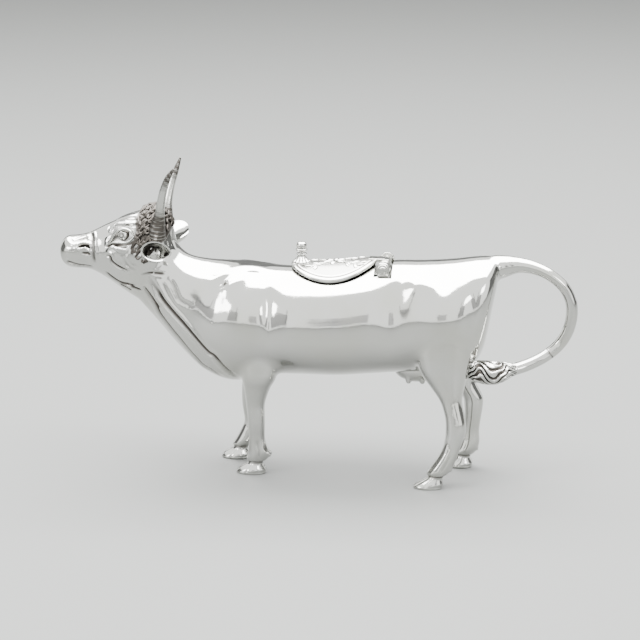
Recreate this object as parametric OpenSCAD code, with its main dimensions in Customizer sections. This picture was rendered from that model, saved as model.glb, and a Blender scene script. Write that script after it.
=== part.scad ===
// Cream jug in the form of a walking cow, in silver.
// The hollow trunk and head are each raised in two halves and joined down the
// middle. The lid in the back opens to fill the jug, the cream runs out of the
// open mouth, and the tail curls round to the near hind leg as the handle.
// The cow faces -X, its left side is -Y, and it stands on z = 0.

/* [Trunk] */
// Length of the trunk and neck, from the rump to the throat
body_l = 105; // [87:1:126]
// Width of the barrel
body_w = 31; // [25:1:38]
// Depth of the barrel, from the back to the belly
body_h = 33; // [27:1:40]
// Thickness of the raised walls
wall = 0.9; // [0.7:0.1:1.4]

/* [Legs] */
// Height of the belly above the ground
leg_h = 29; // [24:1:35]
// Thickness of a shank
shank_d = 4.9; // [4:0.1:6]

/* [Head] */
// Length of the head, from the poll to the muzzle
head_l = 36; // [30:1:44]
// Height of the horns above the poll
horn_l = 16; // [13:1:20]
// How far an ear stands out from the head
ear_l = 9.2; // [7.6:0.1:11.1]

/* [Tail handle] */
// How far the loop of the tail stands out behind the rump
tail_reach = 23; // [19:1:28]
// Thickness of the tail
tail_d = 3.3; // [2.7:0.1:4]

/* [Lid] */
// Length of the lid
lid_l = 25; // [20:0.5:30]
// Width of the lid
lid_w = 19.4; // [16:0.2:23.4]
// Thickness of the lid
lid_t = 0.9; // [0.7:0.1:1.3]
// Air gap between the lid and the back
lid_gap = 0.6; // [0.4:0.1:1]
// How far the lid laps over the edge of the opening
lid_lap = 2.3; // [1.9:0.1:3]
// Depth of the flange below the lid
flange_h = 3.2; // [2:0.1:4]
// Thickness of the flange
flange_t = 0.8; // [0.6:0.1:1]
// Gap between the flange and the edge of the opening
flange_gap = 0.6; // [0.5:0.1:0.8]
// Height of the finial
finial_h = 5.9; // [4.9:0.1:7.1]
// Width of the foot of the finial
finial_d = 5.2; // [4.2:0.1:6.3]

/* [Hinge] */
// Outer diameter of the knuckles
knuckle_d = 3; // [2.4:0.1:3.6]
// Diameter of the pin
pin_d = 1.4; // [1.1:0.1:1.7]
// Radial running clearance of the pin in the lid's knuckle
pin_fit = 0.05; // [0.02:0.01:0.09]
// Width over the three knuckles
hinge_w = 13; // [10.8:0.2:15.6]
// Width of the lid's knuckle
lid_knuckle_w = 5; // [4:0.5:6]
// End play on each side of the lid's knuckle
end_play = 0.15; // [0.1:0.05:0.3]
// Diameter of the domed caps that close the hinge
cap_d = 4.2; // [3.4:0.1:5.1]
// Thickness of the domed caps
cap_t = 1.6; // [1:0.1:2]

/* [Hidden] */

LEFT = -1;
RIGHT = 1;
ARC_SEGMENTS = 16;   // facets round half of a trunk or head section
BEAD_FN = 14;        // facets round a bead of a leg, horn or tail
HOOF_FN = 28;
TEAT_FN = 10;
PIN_FN = 40;         // facets round the hinge and the finial
EPS = 0.02;

// The size at which the outlines below are drawn.
DRAWN_L = 105;
DRAWN_W = 31;
DRAWN_H = 33;
DRAWN_LEG = 29;
DRAWN_SHANK = 4.9;
DRAWN_HEAD = 36;
DRAWN_HORN = 16;
DRAWN_EAR = 9.2;
DRAWN_REACH = 23;
DRAWN_TAIL = 3.3;
RUMP_X = 52;         // the tail leaves the trunk here

// Sections of the trunk from the rump to the neck, each a leaning ellipse:
// [top x, top z, bottom x, bottom z, half width].
TRUNK = [
    [52.2, 58.5, 50.6, 50.5, 0],
    [52.6, 62.5, 49.4, 42.5, 6],
    [51.4, 64.8, 47.6, 36.5, 10],
    [47, 65, 44.5, 33.3, 12.8],
    [39, 64, 37, 31.6, 14.3],
    [31, 63.4, 30, 31, 14.4],
    [23, 63.2, 23, 30.6, 14.6],
    [16, 62.4, 16, 30, 14.9],
    [6, 61.2, 6, 29.2, 15.3],
    [-5, 60.7, -5, 29.2, 15.3],
    [-15, 61, -14, 28.8, 14.6],
    [-24, 61.8, -20, 27, 13.9],
    [-32, 62.3, -26, 26.8, 12.6],
    [-37, 63.3, -33, 29.8, 10.8],
    [-39.6, 65.2, -40, 36.5, 9.4],
    [-40.6, 66.6, -46, 43.4, 8.5],
    [-41, 67.8, -52, 50, 7.8]
];

// Sections of the head from the neck joint to the lips, drawn the same way.
HEAD = [
    [-41, 67.8, -52, 50, 7.8],
    [-42.6, 74.2, -55, 51.8, 8.2],
    [-46.6, 77.8, -58, 53.8, 8],
    [-51, 76.4, -60, 55.2, 7.6],
    [-56, 74.4, -62.3, 56.6, 6.6],
    [-61, 72, -64.8, 57.9, 5.3],
    [-66, 69.4, -67.2, 58.6, 4.5],
    [-69.7, 68.4, -69.6, 58.8, 4.6],
    [-72.8, 68, -71.2, 58.9, 4.4],
    [-74.4, 66.4, -72.2, 59.2, 3.9],
    [-74.9, 64.2, -72.9, 59.6, 3.4],
    [-74.6, 62.4, -73.2, 60, 2.8]
];

// A leg is a string of beads [x, y, z, half length, half width].
FORELEG_LEFT = [
    [-15, -8, 36, 7, 5], [-15.6, -7.8, 30.5, 5.4, 4.4],
    [-16.5, -7.4, 26, 3.8, 3.4], [-16.9, -7, 21, 2.7, 2.6],
    [-16.7, -6.8, 16, 2.6, 2.5], [-16.6, -6.5, 12, 2.4, 2.4],
    [-16.5, -6.2, 8, 2.9, 2.7], [-16.4, -6, 6, 3, 2.7],
    [-17, -5.8, 3.6, 3.2, 2.7]
];
FORELEG_RIGHT = [
    [-15, 8, 36, 7, 5], [-17, 8, 30.5, 5.4, 4.4],
    [-19.2, 8.2, 26, 3.8, 3.4], [-20.6, 8.4, 21, 2.7, 2.6],
    [-20.6, 8.6, 16, 2.6, 2.5], [-20.2, 8.8, 12, 2.4, 2.4],
    [-21.4, 9, 8, 2.9, 2.7], [-22.4, 9, 6, 3, 2.7],
    [-23.8, 9.1, 3.6, 3.2, 2.7]
];
HINDLEG_LEFT = [
    [37, -8, 38, 9, 6], [37.4, -9.5, 33, 7, 4.8],
    [39, -10.8, 29, 4.8, 3.8], [40, -11.8, 25.4, 3.1, 3],
    [41.2, -12.6, 21, 2.9, 2.8], [41.3, -13.2, 16, 2.9, 2.6],
    [40, -13.7, 11, 2.7, 2.5], [38, -13.9, 7, 3, 2.7],
    [36.4, -14, 4, 3.3, 2.7]
];
HINDLEG_RIGHT = [
    [37, 8, 38, 9, 6], [38, 8.4, 33, 7, 4.8],
    [40.4, 8.4, 29, 4.8, 3.8], [42.6, 8.4, 25.4, 3.1, 3],
    [44.9, 8.4, 20.6, 3, 2.8], [45.2, 8.3, 16, 2.7, 2.6],
    [44.7, 8.2, 11, 2.4, 2.4], [44.3, 8, 7, 2.8, 2.6],
    [43, 8, 4, 3.1, 2.7]
];
// Where a hoof stands: [x, y, half length, half width].
HOOF_FORE_LEFT = [-18.4, -5.6, 4.5, 3.1];
HOOF_FORE_RIGHT = [-25.2, 9.2, 4.4, 3.1];
HOOF_HIND_LEFT = [33.9, -14, 4.3, 2.9];
HOOF_HIND_RIGHT = [41.2, 8, 4.2, 3];
HOOF_EDGE = 1.1;     // height of the upright edge of a hoof
LEG_STEPS = 11;

// Strings of round beads [x, y, z, radius] for the horns, drawn on the right.
HORN_LEFT = [
    [-46, -5, 70, 4], [-45.4, -6, 75, 3.1], [-44.6, -7.2, 79.5, 2.1],
    [-43.6, -8.4, 83.2, 1.6], [-42, -9.6, 87, 1.2], [-39.9, -10.5, 90, 0.7]
];
HORN_RIGHT = [
    [-46, 5, 70, 4], [-45.6, 6, 75, 3.1], [-45, 7.2, 78.8, 2.1],
    [-44.2, 8.4, 82.4, 1.6], [-42.9, 9.6, 86.2, 1.2], [-41.4, 10.5, 89.8, 0.7]
];
POLL_Z = 74;         // the horns grow from here up
HORN_STEPS = 10;
// An ear is a widening cup: [x, y out, z, half length, half height].
EAR = [
    [-46, 5.5, 64.6, 2, 1.8], [-45.6, 8, 65.2, 2.5, 2.1],
    [-45, 10.4, 66, 3.2, 2.6], [-44.4, 12.6, 66.7, 3.8, 2.8],
    [-43.4, 14.4, 67.4, 3.8, 2.6], [-42.2, 16.4, 68, 3, 2]
];
EAR_ROOT_Y = 7.8;    // the side of the head at the ear
EAR_WALL = 0.7;
EAR_DISC = 0.5;
EAR_STEPS = 8;
EAR_CUP_START = 2.2; // the ear is hollow from here out
EAR_CUP_STEPS = 5;

// The tail in two lengths, [x, y, z, radius], joined low on the loop.
TAIL = [
    [49, 0, 61.4, 3.6], [53, 0, 62.2, 3.4], [58, 0, 62.8, 2.3],
    [63, 0, 61.9, 1.8], [67.4, 0, 59.8, 1.65], [71, 0, 56.6, 1.65],
    [73, 0, 52.6, 1.65], [73.3, 0, 48.2, 1.65], [72.2, 0, 43.6, 1.65],
    [69.6, 0, 39.4, 1.65], [65.6, -0.8, 36.2, 1.65], [60.6, -2.6, 34, 1.7],
    [56, -4.6, 33, 1.7], [52, -6, 32.8, 1.6]
];
TAIL_JOINT = 9.6;    // how far along the tail, in beads, the joint is
TAIL_OVER = 0.5;     // how far each length is drawn past the joint and cut back
TAIL_LOOP_STEPS = 22;
TAIL_END_STEPS = 9;
TUFT_STEPS = 6;
JOINT_BLOCK = 12;
// The tuft of hair at the end of the tail, held to the near hind leg.
TUFT = [
    [44, -7.4, 33.2, 1.6], [47.4, -7, 33, 2.8],
    [51, -6.6, 32.6, 3], [54.2, -5.4, 32.8, 2.4], [56.6, -4.6, 33.2, 1.7]
];

// The udder between the hind legs, and its teats [x, y].
UDDER = [
    [24.5, 0, 33, 3], [26.5, 0, 31.8, 3.8], [29, 0, 31.6, 4.2],
    [31.5, 0, 32.2, 4], [34, 0, 33.4, 3.4]
];
TEATS = [[27, -2.2], [27, 2.2], [31, -2.2], [31, 2.2]];
TEAT_Z = 28.6;
TEAT_L = 2;
TEAT_R = 0.8;
TEAT_ROOT_R = 1.3;
UDDER_STEPS = 5;

// The lid lies along the back, and its middle is here.
LID_X = 5.3;
LID_FACETS = 32;
lid_x = sx(LID_X);
open_l = lid_l - 2 * lid_lap;
open_w = lid_w - 2 * lid_lap;
flange_out = lid_lap + flange_gap;
flange_in = flange_out + flange_t;
// Rings of the lid, as insets from its edge; two of them carry the flange.
LID_RINGS = [0, lid_lap / 2, flange_out, flange_in, (flange_in + lid_w / 2) / 2];
FINIAL_INSET = 2.9;  // middle of the finial behind the front edge of the lid
finial_x = lid_x - lid_l / 2 + FINIAL_INSET;
FINIAL_SINK = 0.35;

// The hinge lies in a seat across the back, just behind the lid.
HINGE_SINK = 0.9;    // depth of its axis below the crown of the back
HINGE_FOOT = 0.7;    // height of the knuckles' feet below the barrel
CAP_FOOT = 0.1;      // gap below the caps
CAP_RIM = 0.3;       // share of a cap's thickness that is its upright rim
CAP_STEPS = 8;
LID_REAR_GAP = 0.5;
SEAT_GAP = 0.5;
hinge_x = lid_x + lid_l / 2 + LID_REAR_GAP + knuckle_d / 2;
hinge_z = top_z(hinge_x, 0) - HINGE_SINK;
seat_half = max(knuckle_d, cap_d) / 2 + SEAT_GAP;
seat_z = hinge_z - max(knuckle_d / 2 + HINGE_FOOT, cap_d / 2 + CAP_FOOT);
STRAP_L = 2.6;       // length of the lid knuckle's strap on the lid
STRAP_W = 3.8;
STRAP_RISE = 0.5;    // top of the strap above the barrel

SILVER = [0.83, 0.83, 0.81];
BRIGHT = [0.9, 0.9, 0.88];
SHADE = [0.62, 0.62, 0.6];

// ---- Placing: a drawn point goes to the chosen size ----

function sx(x) = x * body_l / DRAWN_L;
function sy(y) = y * body_w / DRAWN_W;
function sz(z) = z <= DRAWN_LEG
    ? z * leg_h / DRAWN_LEG
    : leg_h + (z - DRAWN_LEG) * body_h / DRAWN_H;

// A smooth curve through the rows of a table; u counts rows.
function curve(table, u) =
    let (last = len(table) - 1,
         i = min(floor(u), last - 1),
         t = u - i,
         a = table[max(i - 1, 0)],
         b = table[i],
         c = table[i + 1],
         d = table[min(i + 2, last)])
    0.5 * (2 * b + (c - a) * t + (2 * a - 5 * b + 4 * c - d) * t * t
           + (3 * b - a - 3 * c + d) * t * t * t);

// ---- Trunk and head sections ----

function trunk_section(u) =
    let (s = curve(TRUNK, u))
    [sx(s[0]), sz(s[1]), sx(s[2]), sz(s[3]), sy(max(s[4], 0))];

NECK = trunk_section(len(TRUNK) - 1);
head_k = head_l / DRAWN_HEAD;
// The head keeps its own size and starts from the end of the neck.
function head_section(u) =
    let (s = curve(HEAD, u))
    [for (j = [0 : 4]) NECK[j] + (s[j] - HEAD[0][j]) * head_k];

// A point on or beside the head, y measured outwards on the side given.
function on_head(p, side) =
    [NECK[0] + (p[0] - HEAD[0][0]) * head_k,
     side * (NECK[4] + (p[1] - HEAD[0][4]) * head_k),
     NECK[1] + (p[2] - HEAD[0][1]) * head_k];

// Height of the back at x and y, on the trunk before the hinge seat is cut.
function top_z(x, y) =
    let (s = trunk_section(row_at(x)),
         half = (s[1] - s[3]) / 2)
    s[1] - half + half * sqrt(max(0, 1 - pow(y / s[4], 2)));

// The row of the trunk whose top is at x, found by halving.
function row_at(x, low = 3, high = 13, tries = 24) =
    let (mid = (low + high) / 2)
    tries == 0 ? mid
    : trunk_section(mid)[0] > x ? row_at(x, mid, high, tries - 1)
    : row_at(x, low, mid, tries - 1);

// Half width of the filling opening at x.
function open_half(x) =
    open_w / 2 * sqrt(max(0, 1 - pow((x - lid_x) / (open_l / 2), 2)));

function seat_cut(x, z, inset) =
    abs(x - hinge_x) < seat_half + inset - EPS / 2 ? min(z, seat_z - inset) : z;

// Half a section as points from the top to the bottom, inset from the outside.
// start is the half width of an opening in the top.
function half_ring(s, side, inset, start) =
    let (mx = (s[0] + s[2]) / 2,
         mz = (s[1] + s[3]) / 2,
         vx = (s[0] - s[2]) / 2,
         vz = (s[1] - s[3]) / 2,
         k = 1 - inset / norm([vx, vz]),
         w = max(s[4] - inset, 0),
         first = start > 0 ? asin(start / w) : 0)
    [for (i = [0 : ARC_SEGMENTS])
        let (a = first + (180 - first) * i / ARC_SEGMENTS)
        [mx + vx * k * cos(a), side * w * sin(a), mz + vz * k * cos(a)]];

// Rows of the trunk at which it has a ring: even steps from the rump to the
// hinge seat and from the opening to the neck, and closer ones between.
seat_xs = [
    for (d = [seat_half + wall, seat_half + wall - EPS, seat_half, seat_half - EPS])
        hinge_x + d,
    hinge_x,
    for (d = [seat_half - EPS, seat_half, seat_half + wall - EPS, seat_half + wall])
        hinge_x - d
];
OPENING_STEP = 15;
open_xs = [for (a = [0 : OPENING_STEP : 180]) lid_x + open_l / 2 * cos(a)];
seat_row = row_at(seat_xs[0]);
open_row = row_at(lid_x - open_l / 2);
neck_row = len(TRUNK) - 1;
RINGS_BEHIND = 13;
RINGS_AHEAD = 15;
trunk_rows = [
    for (i = [0 : RINGS_BEHIND - 1]) seat_row * i / RINGS_BEHIND,
    for (x = seat_xs) row_at(x),
    for (x = open_xs) row_at(x),
    for (i = [1 : RINGS_AHEAD]) open_row + (neck_row - open_row) * i / RINGS_AHEAD
];

// The rump is a nearly flat cap, so its inner wall is set forward instead.
function rump_shift(u, inset) = inset * max(0, 1 - u / 3);

function trunk_ring(u, side, inset, open) =
    let (s = trunk_section(u),
         x = s[0],
         start = open ? open_half(x) : 0)
    [for (p = half_ring(s, side, inset, start))
        [p[0] - rump_shift(u, inset), p[1], seat_cut(x, p[2], inset)]];

HEAD_RINGS = 24;
head_rows = [for (i = [0 : HEAD_RINGS]) (len(HEAD) - 1) * i / HEAD_RINGS];
function head_ring(u, side, inset) = half_ring(head_section(u), side, inset, 0);

// ---- Shells and solids from rings ----

function quad(a, b, c, d) = [[a, b, c], [a, c, d]];
function turned(faces, turn) =
    turn ? [for (f = faces) [f[2], f[1], f[0]]] : faces;
function flat_list(lists) = [for (l = lists) each l];

// A half shell: an outer and an inner set of rings, joined all round the edge.
module half_shell(outer, inner, side) {
    rings = len(outer);
    row = ARC_SEGMENTS + 1;
    shift = rings * row;
    function at(i, k) = i * row + k;
    skin = [for (i = [0 : rings - 2], k = [0 : ARC_SEGMENTS - 1])
        each quad(at(i, k), at(i, k + 1), at(i + 1, k + 1), at(i + 1, k))];
    lining = [for (f = skin) [f[2] + shift, f[1] + shift, f[0] + shift]];
    seam = [for (i = [0 : rings - 2])
        each concat(
            quad(at(i, 0), at(i + 1, 0), at(i + 1, 0) + shift, at(i, 0) + shift),
            quad(at(i, row - 1) + shift, at(i + 1, row - 1) + shift,
                 at(i + 1, row - 1), at(i, row - 1)))];
    ends = [for (k = [0 : ARC_SEGMENTS - 1])
        each concat(
            quad(at(0, k) + shift, at(0, k + 1) + shift, at(0, k + 1), at(0, k)),
            quad(at(rings - 1, k), at(rings - 1, k + 1),
                 at(rings - 1, k + 1) + shift, at(rings - 1, k) + shift))];
    polyhedron(points = flat_list(concat(outer, inner)),
               faces = turned(concat(skin, lining, seam, ends), side == LEFT),
               convexity = 8);
}

// The closed solid inside a set of left half rings and their mirror images.
// A first ring without width is a seam that the two sides share.
module solid_from(rings_left) {
    last = len(rings_left) - 1;
    row = 2 * ARC_SEGMENTS;
    points = [for (ring = rings_left)
        each concat(ring, [for (k = [ARC_SEGMENTS - 1 : -1 : 1])
            [ring[k][0], -ring[k][1], ring[k][2]]])];
    seamed = abs(points[1][1]) < EPS;
    function at(i, j) =
        let (k = j % row)
        i * row + (i == 0 && seamed && k > ARC_SEGMENTS ? row - k : k);
    // The quads are split as the half shells' are, left and right.
    skin = [for (i = [0 : last - 1], j = [0 : row - 1])
        each j < ARC_SEGMENTS
            ? quad(at(i, j), at(i, j + 1), at(i + 1, j + 1), at(i + 1, j))
            : quad(at(i, j + 1), at(i + 1, j + 1), at(i + 1, j), at(i, j))];
    back_cap = [for (j = [1 : row - 2]) [at(last, 0), at(last, j), at(last, j + 1)]];
    front_cap = [for (j = [1 : row - 2]) [at(0, 0), at(0, j + 1), at(0, j)]];
    polyhedron(points = points, faces = concat(skin, back_cap, seamed ? [] : front_cap),
               convexity = 8);
}

module trunk_half(side) {
    half_shell([for (u = trunk_rows) trunk_ring(u, side, 0, true)],
               [for (u = trunk_rows) trunk_ring(u, side, wall, true)], side);
}

module head_half(side) {
    half_shell([for (u = head_rows) head_ring(u, side, 0)],
               [for (u = head_rows) head_ring(u, side, wall)], side);
}

module trunk_solid() {
    solid_from([for (u = trunk_rows) trunk_ring(u, LEFT, 0, false)]);
}

module head_solid() {
    solid_from([for (u = head_rows) head_ring(u, LEFT, 0)]);
}

module body_left() { color(SILVER) trunk_half(LEFT); }
module body_right() { color(SILVER) trunk_half(RIGHT); }
module head_left() { color(SILVER) head_half(LEFT); }
module head_right() { color(SILVER) head_half(RIGHT); }

// ---- Cast pieces: strings of beads, cut where they meet the trunk or head ----

// A bead is [x, y, z, half length, half width, half height].
module bead(b) {
    translate([b[0], b[1], b[2]]) scale([b[3], b[4], b[5]]) sphere(r = 1, $fn = BEAD_FN);
}

module string_of(beads, first, last, steps) {
    for (i = [0 : steps - 1]) hull() {
        bead(curve(beads, first + (last - first) * i / steps));
        bead(curve(beads, first + (last - first) * (i + 1) / steps));
    }
}

leg_k = shank_d / DRAWN_SHANK;
function leg_bead(b) =
    [sx(b[0]), sy(b[1]), sz(b[2]), b[3] * leg_k, b[4] * leg_k,
     min(b[3], b[4]) * leg_k];

module hoof(stand, ankle) {
    hull() {
        translate([sx(stand[0]), sy(stand[1]), 0])
            scale([stand[2] * leg_k, stand[3] * leg_k, 1])
                cylinder(r = 1, h = HOOF_EDGE, $fn = HOOF_FN);
        bead(ankle);
    }
}

module leg_shape(beads, stand) {
    placed = [for (b = beads) leg_bead(b)];
    last = len(beads) - 1;
    string_of(placed, 0, last, LEG_STEPS);
    hoof(stand, placed[last]);
}

module leg(beads, stand) {
    color(SILVER) difference() {
        leg_shape(beads, stand);
        trunk_solid();
    }
}

module foreleg_left() { leg(FORELEG_LEFT, HOOF_FORE_LEFT); }
module foreleg_right() { leg(FORELEG_RIGHT, HOOF_FORE_RIGHT); }
module hindleg_left() { leg(HINDLEG_LEFT, HOOF_HIND_LEFT); }
module hindleg_right() { leg(HINDLEG_RIGHT, HOOF_HIND_RIGHT); }

function udder_bead(b) =
    [sx(b[0]), sy(b[1]), sz(b[2]), b[3], b[3] * body_w / DRAWN_W, b[3]];

module udder() {
    color(SILVER) difference() {
        union() {
            string_of([for (b = UDDER) udder_bead(b)], 0, len(UDDER) - 1, UDDER_STEPS);
            for (t = TEATS) translate([sx(t[0]), sy(t[1]), sz(TEAT_Z) - TEAT_L]) hull() {
                sphere(r = TEAT_R, $fn = TEAT_FN);
                translate([0, 0, TEAT_L]) sphere(r = TEAT_ROOT_R, $fn = TEAT_FN);
            }
        }
        trunk_solid();
        leg_shape(HINDLEG_LEFT, HOOF_HIND_LEFT);
        leg_shape(HINDLEG_RIGHT, HOOF_HIND_RIGHT);
    }
}

horn_k = horn_l / DRAWN_HORN;
function horn_bead(b, side) =
    let (p = on_head([b[0], side * b[1], min(b[2], POLL_Z)], side),
         rise = max(b[2] - POLL_Z, 0) * horn_k)
    [p[0], p[1], p[2] + rise, b[3], b[3], b[3]];

module horn_shape(side) {
    beads = side == LEFT ? HORN_LEFT : HORN_RIGHT;
    string_of([for (b = beads) horn_bead(b, side)], 0, len(beads) - 1, HORN_STEPS);
}

module horn(side) {
    color(SILVER) difference() {
        horn_shape(side);
        head_solid();
        trunk_solid();
    }
}

module horn_left() { horn(LEFT); }
module horn_right() { horn(RIGHT); }

ear_k = ear_l / DRAWN_EAR;
function ear_disc(e, side, inset) =
    let (p = on_head([e[0], min(e[1], EAR_ROOT_Y), e[2]], side),
         out = max(e[1] - EAR_ROOT_Y, 0) * ear_k)
    [p[0], p[1] + side * out, p[2], e[3] - inset, EAR_DISC, e[4] - inset];

module ear(side) {
    color(SILVER) difference() {
        string_of([for (e = EAR) ear_disc(e, side, 0)], 0, len(EAR) - 1, EAR_STEPS);
        translate([0, 2 * side * EAR_DISC, EAR_WALL])
            string_of([for (e = EAR) ear_disc(e, side, EAR_WALL)],
                      EAR_CUP_START, len(EAR) - 1, EAR_CUP_STEPS);
        horn_shape(side);
        head_solid();
        trunk_solid();
    }
}

module ear_left() { ear(LEFT); }
module ear_right() { ear(RIGHT); }

// ---- Tail ----

reach_k = tail_reach / DRAWN_REACH;
tail_k = tail_d / DRAWN_TAIL;
function tail_bead(b) =
    let (out = max(b[0] - RUMP_X, 0), r = b[3] * tail_k)
    [sx(min(b[0], RUMP_X)) + out * reach_k, sy(b[1]), sz(b[2]), r, r, r];

tail_beads = [for (b = TAIL) tail_bead(b)];
tuft_beads = [for (b = TUFT) tail_bead(b)];

// A block whose face lies across the tail at its joint, to one side of it.
module joint_block(beyond) {
    here = curve(tail_beads, TAIL_JOINT);
    run = curve(tail_beads, TAIL_JOINT + TAIL_OVER) - here;
    translate([here[0], here[1], here[2]])
        rotate([0, acos(run[2] / norm([run[0], run[1], run[2]])), atan2(run[1], run[0])])
            translate([-JOINT_BLOCK / 2, -JOINT_BLOCK / 2, beyond ? 0 : -JOINT_BLOCK])
                cube(JOINT_BLOCK);
}

module tail_loop() {
    color(SILVER) difference() {
        string_of(tail_beads, 0, TAIL_JOINT + TAIL_OVER, TAIL_LOOP_STEPS);
        trunk_solid();
        joint_block(true);
    }
}

module tuft_shape() {
    string_of(tuft_beads, 0, len(TUFT) - 1, TUFT_STEPS);
}

module tail_end() {
    color(SILVER) difference() {
        string_of(tail_beads, TAIL_JOINT - TAIL_OVER, len(TAIL) - 1, TAIL_END_STEPS);
        joint_block(false);
        tuft_shape();
    }
}

module tail_tuft() {
    color(SILVER) difference() {
        tuft_shape();
        leg_shape(HINDLEG_LEFT, HOOF_HIND_LEFT);
        trunk_solid();
    }
}

// ---- Lid ----

function lid_point(inset, a, lift) =
    let (x = lid_x + (lid_l / 2 - inset) * cos(a),
         y = (lid_w / 2 - inset) * sin(a))
    [x, y, top_z(x, y) + lid_gap + lift];
function lid_ring(inset, lift) =
    [for (i = [0 : LID_FACETS - 1]) lid_point(inset, 360 * i / LID_FACETS, lift)];

module lid_cover() {
    n = LID_FACETS;
    rows = len(LID_RINGS);
    middle = [for (lift = [lid_t, 0]) [lid_x, 0, top_z(lid_x, 0) + lid_gap + lift]];
    points = concat(
        flat_list([for (r = LID_RINGS) lid_ring(r, lid_t)]),
        flat_list([for (r = LID_RINGS) lid_ring(r, 0)]), middle);
    below = rows * n;
    top_middle = 2 * rows * n;
    top = [for (r = [0 : rows - 2], i = [0 : n - 1])
        each quad(r * n + i, r * n + (i + 1) % n,
                  (r + 1) * n + (i + 1) % n, (r + 1) * n + i)];
    edge = [for (i = [0 : n - 1])
        each quad(i + below, (i + 1) % n + below, (i + 1) % n, i)];
    fans = [for (i = [0 : n - 1], f = [
        [(rows - 1) * n + i, (rows - 1) * n + (i + 1) % n, top_middle],
        [(rows - 1) * n + (i + 1) % n + below, (rows - 1) * n + i + below, top_middle + 1]]) f];
    faces = concat(top, [for (f = top) [f[2] + below, f[1] + below, f[0] + below]],
                   edge, fans);
    color(BRIGHT) polyhedron(points = points, faces = turned(faces, true), convexity = 4);
}

module lid_flange() {
    n = LID_FACETS;
    rings = [lid_ring(flange_out, 0), lid_ring(flange_in, 0),
             lid_ring(flange_in, -lid_gap - flange_h),
             lid_ring(flange_out, -lid_gap - flange_h)];
    faces = [for (r = [0 : 3], i = [0 : n - 1])
        each quad(r * n + i, r * n + (i + 1) % n,
                  (r + 1) % 4 * n + (i + 1) % n, (r + 1) % 4 * n + i)];
    color(SHADE) polyhedron(points = flat_list(rings), faces = turned(faces, true),
                            convexity = 4);
}

module lid_knuckle() {
    strap_top = hinge_z + knuckle_d / 2 + STRAP_RISE;
    color(SILVER) difference() {
        union() {
            barrel(lid_knuckle_w, 0);
            translate([hinge_x - knuckle_d / 2 - LID_REAR_GAP - STRAP_L, -STRAP_W / 2,
                       strap_top - lid_t])
                cube([STRAP_L + LID_REAR_GAP + knuckle_d / 2, STRAP_W, lid_t]);
        }
        pin_bore(pin_d / 2 + pin_fit);
    }
}

// Outline of the finial's half section, as [radius, height] in shares.
FINIAL = [
    [0, 0], [1, 0], [1, 0.06], [0.86, 0.12], [0.66, 0.2], [0.5, 0.32],
    [0.44, 0.42], [0.58, 0.46], [0.62, 0.52], [0.54, 0.57], [0.42, 0.6],
    [0.42, 0.68], [0.54, 0.74], [0.6, 0.84], [0.5, 0.94], [0.26, 1], [0, 1]
];

module lid_finial() {
    base_z = top_z(finial_x, 0) + lid_gap + lid_t - FINIAL_SINK;
    color(SILVER) translate([finial_x, 0, base_z]) rotate_extrude($fn = PIN_FN)
        polygon([for (p = FINIAL) [p[0] * finial_d / 2, p[1] * (finial_h + FINIAL_SINK)]]);
}

// ---- Hinge ----

// A length of hinge barrel from y, and the hole along it.
module barrel(width, y) {
    translate([hinge_x, y, hinge_z]) rotate([90, 0, 0])
        cylinder(d = knuckle_d, h = width, center = true, $fn = PIN_FN);
}

module pin_bore(radius) {
    translate([hinge_x, 0, hinge_z]) rotate([90, 0, 0])
        cylinder(r = radius, h = 2 * hinge_w, center = true, $fn = PIN_FN);
}

module body_knuckle(side) {
    inner = lid_knuckle_w / 2 + end_play;
    width = hinge_w / 2 - inner;
    color(SILVER) difference() {
        union() {
            barrel(width, side * (inner + width / 2));
            translate([hinge_x - knuckle_d / 2, side * (inner + width / 2) - width / 2,
                       seat_z])
                cube([knuckle_d, width, hinge_z - seat_z]);
        }
        pin_bore(pin_d / 2);
    }
}

module hinge_knuckle_left() { body_knuckle(LEFT); }
module hinge_knuckle_right() { body_knuckle(RIGHT); }

module hinge_pin() {
    color(SHADE) translate([hinge_x, 0, hinge_z]) rotate([90, 0, 0])
        cylinder(d = pin_d, h = hinge_w, center = true, $fn = PIN_FN);
}

module hinge_cap(side) {
    dome = [for (i = [0 : CAP_STEPS])
        let (a = 90 * i / CAP_STEPS)
        [cap_d / 2 * cos(a), cap_t * (CAP_RIM + (1 - CAP_RIM) * sin(a))]];
    color(SILVER) translate([hinge_x, side * hinge_w / 2, hinge_z])
        rotate([-90 * side, 0, 0]) rotate_extrude($fn = PIN_FN)
            polygon(concat([[0, 0], [cap_d / 2, 0]], dome));
}

module hinge_cap_left() { hinge_cap(LEFT); }
module hinge_cap_right() { hinge_cap(RIGHT); }

body_left();
body_right();
head_left();
head_right();
horn_left();
horn_right();
ear_left();
ear_right();
foreleg_left();
foreleg_right();
hindleg_left();
hindleg_right();
udder();
tail_loop();
tail_end();
tail_tuft();
hinge_knuckle_left();
hinge_knuckle_right();
hinge_pin();
hinge_cap_left();
hinge_cap_right();
lid_cover();
lid_flange();
lid_knuckle();
lid_finial();
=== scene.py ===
"""Looks of a silver cream jug in the form of a walking cow.

The cow faces -X with its left side on -Y, and stands on z = 0. Tables and sizes
are in millimetres; meshes are turned into metres when a piece is placed.
"""

import logging
import math
from collections.abc import Callable, Sequence
from dataclasses import dataclass
from enum import Enum

import bmesh
import bpy
import numpy as np
from mathutils import Matrix, Vector


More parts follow.
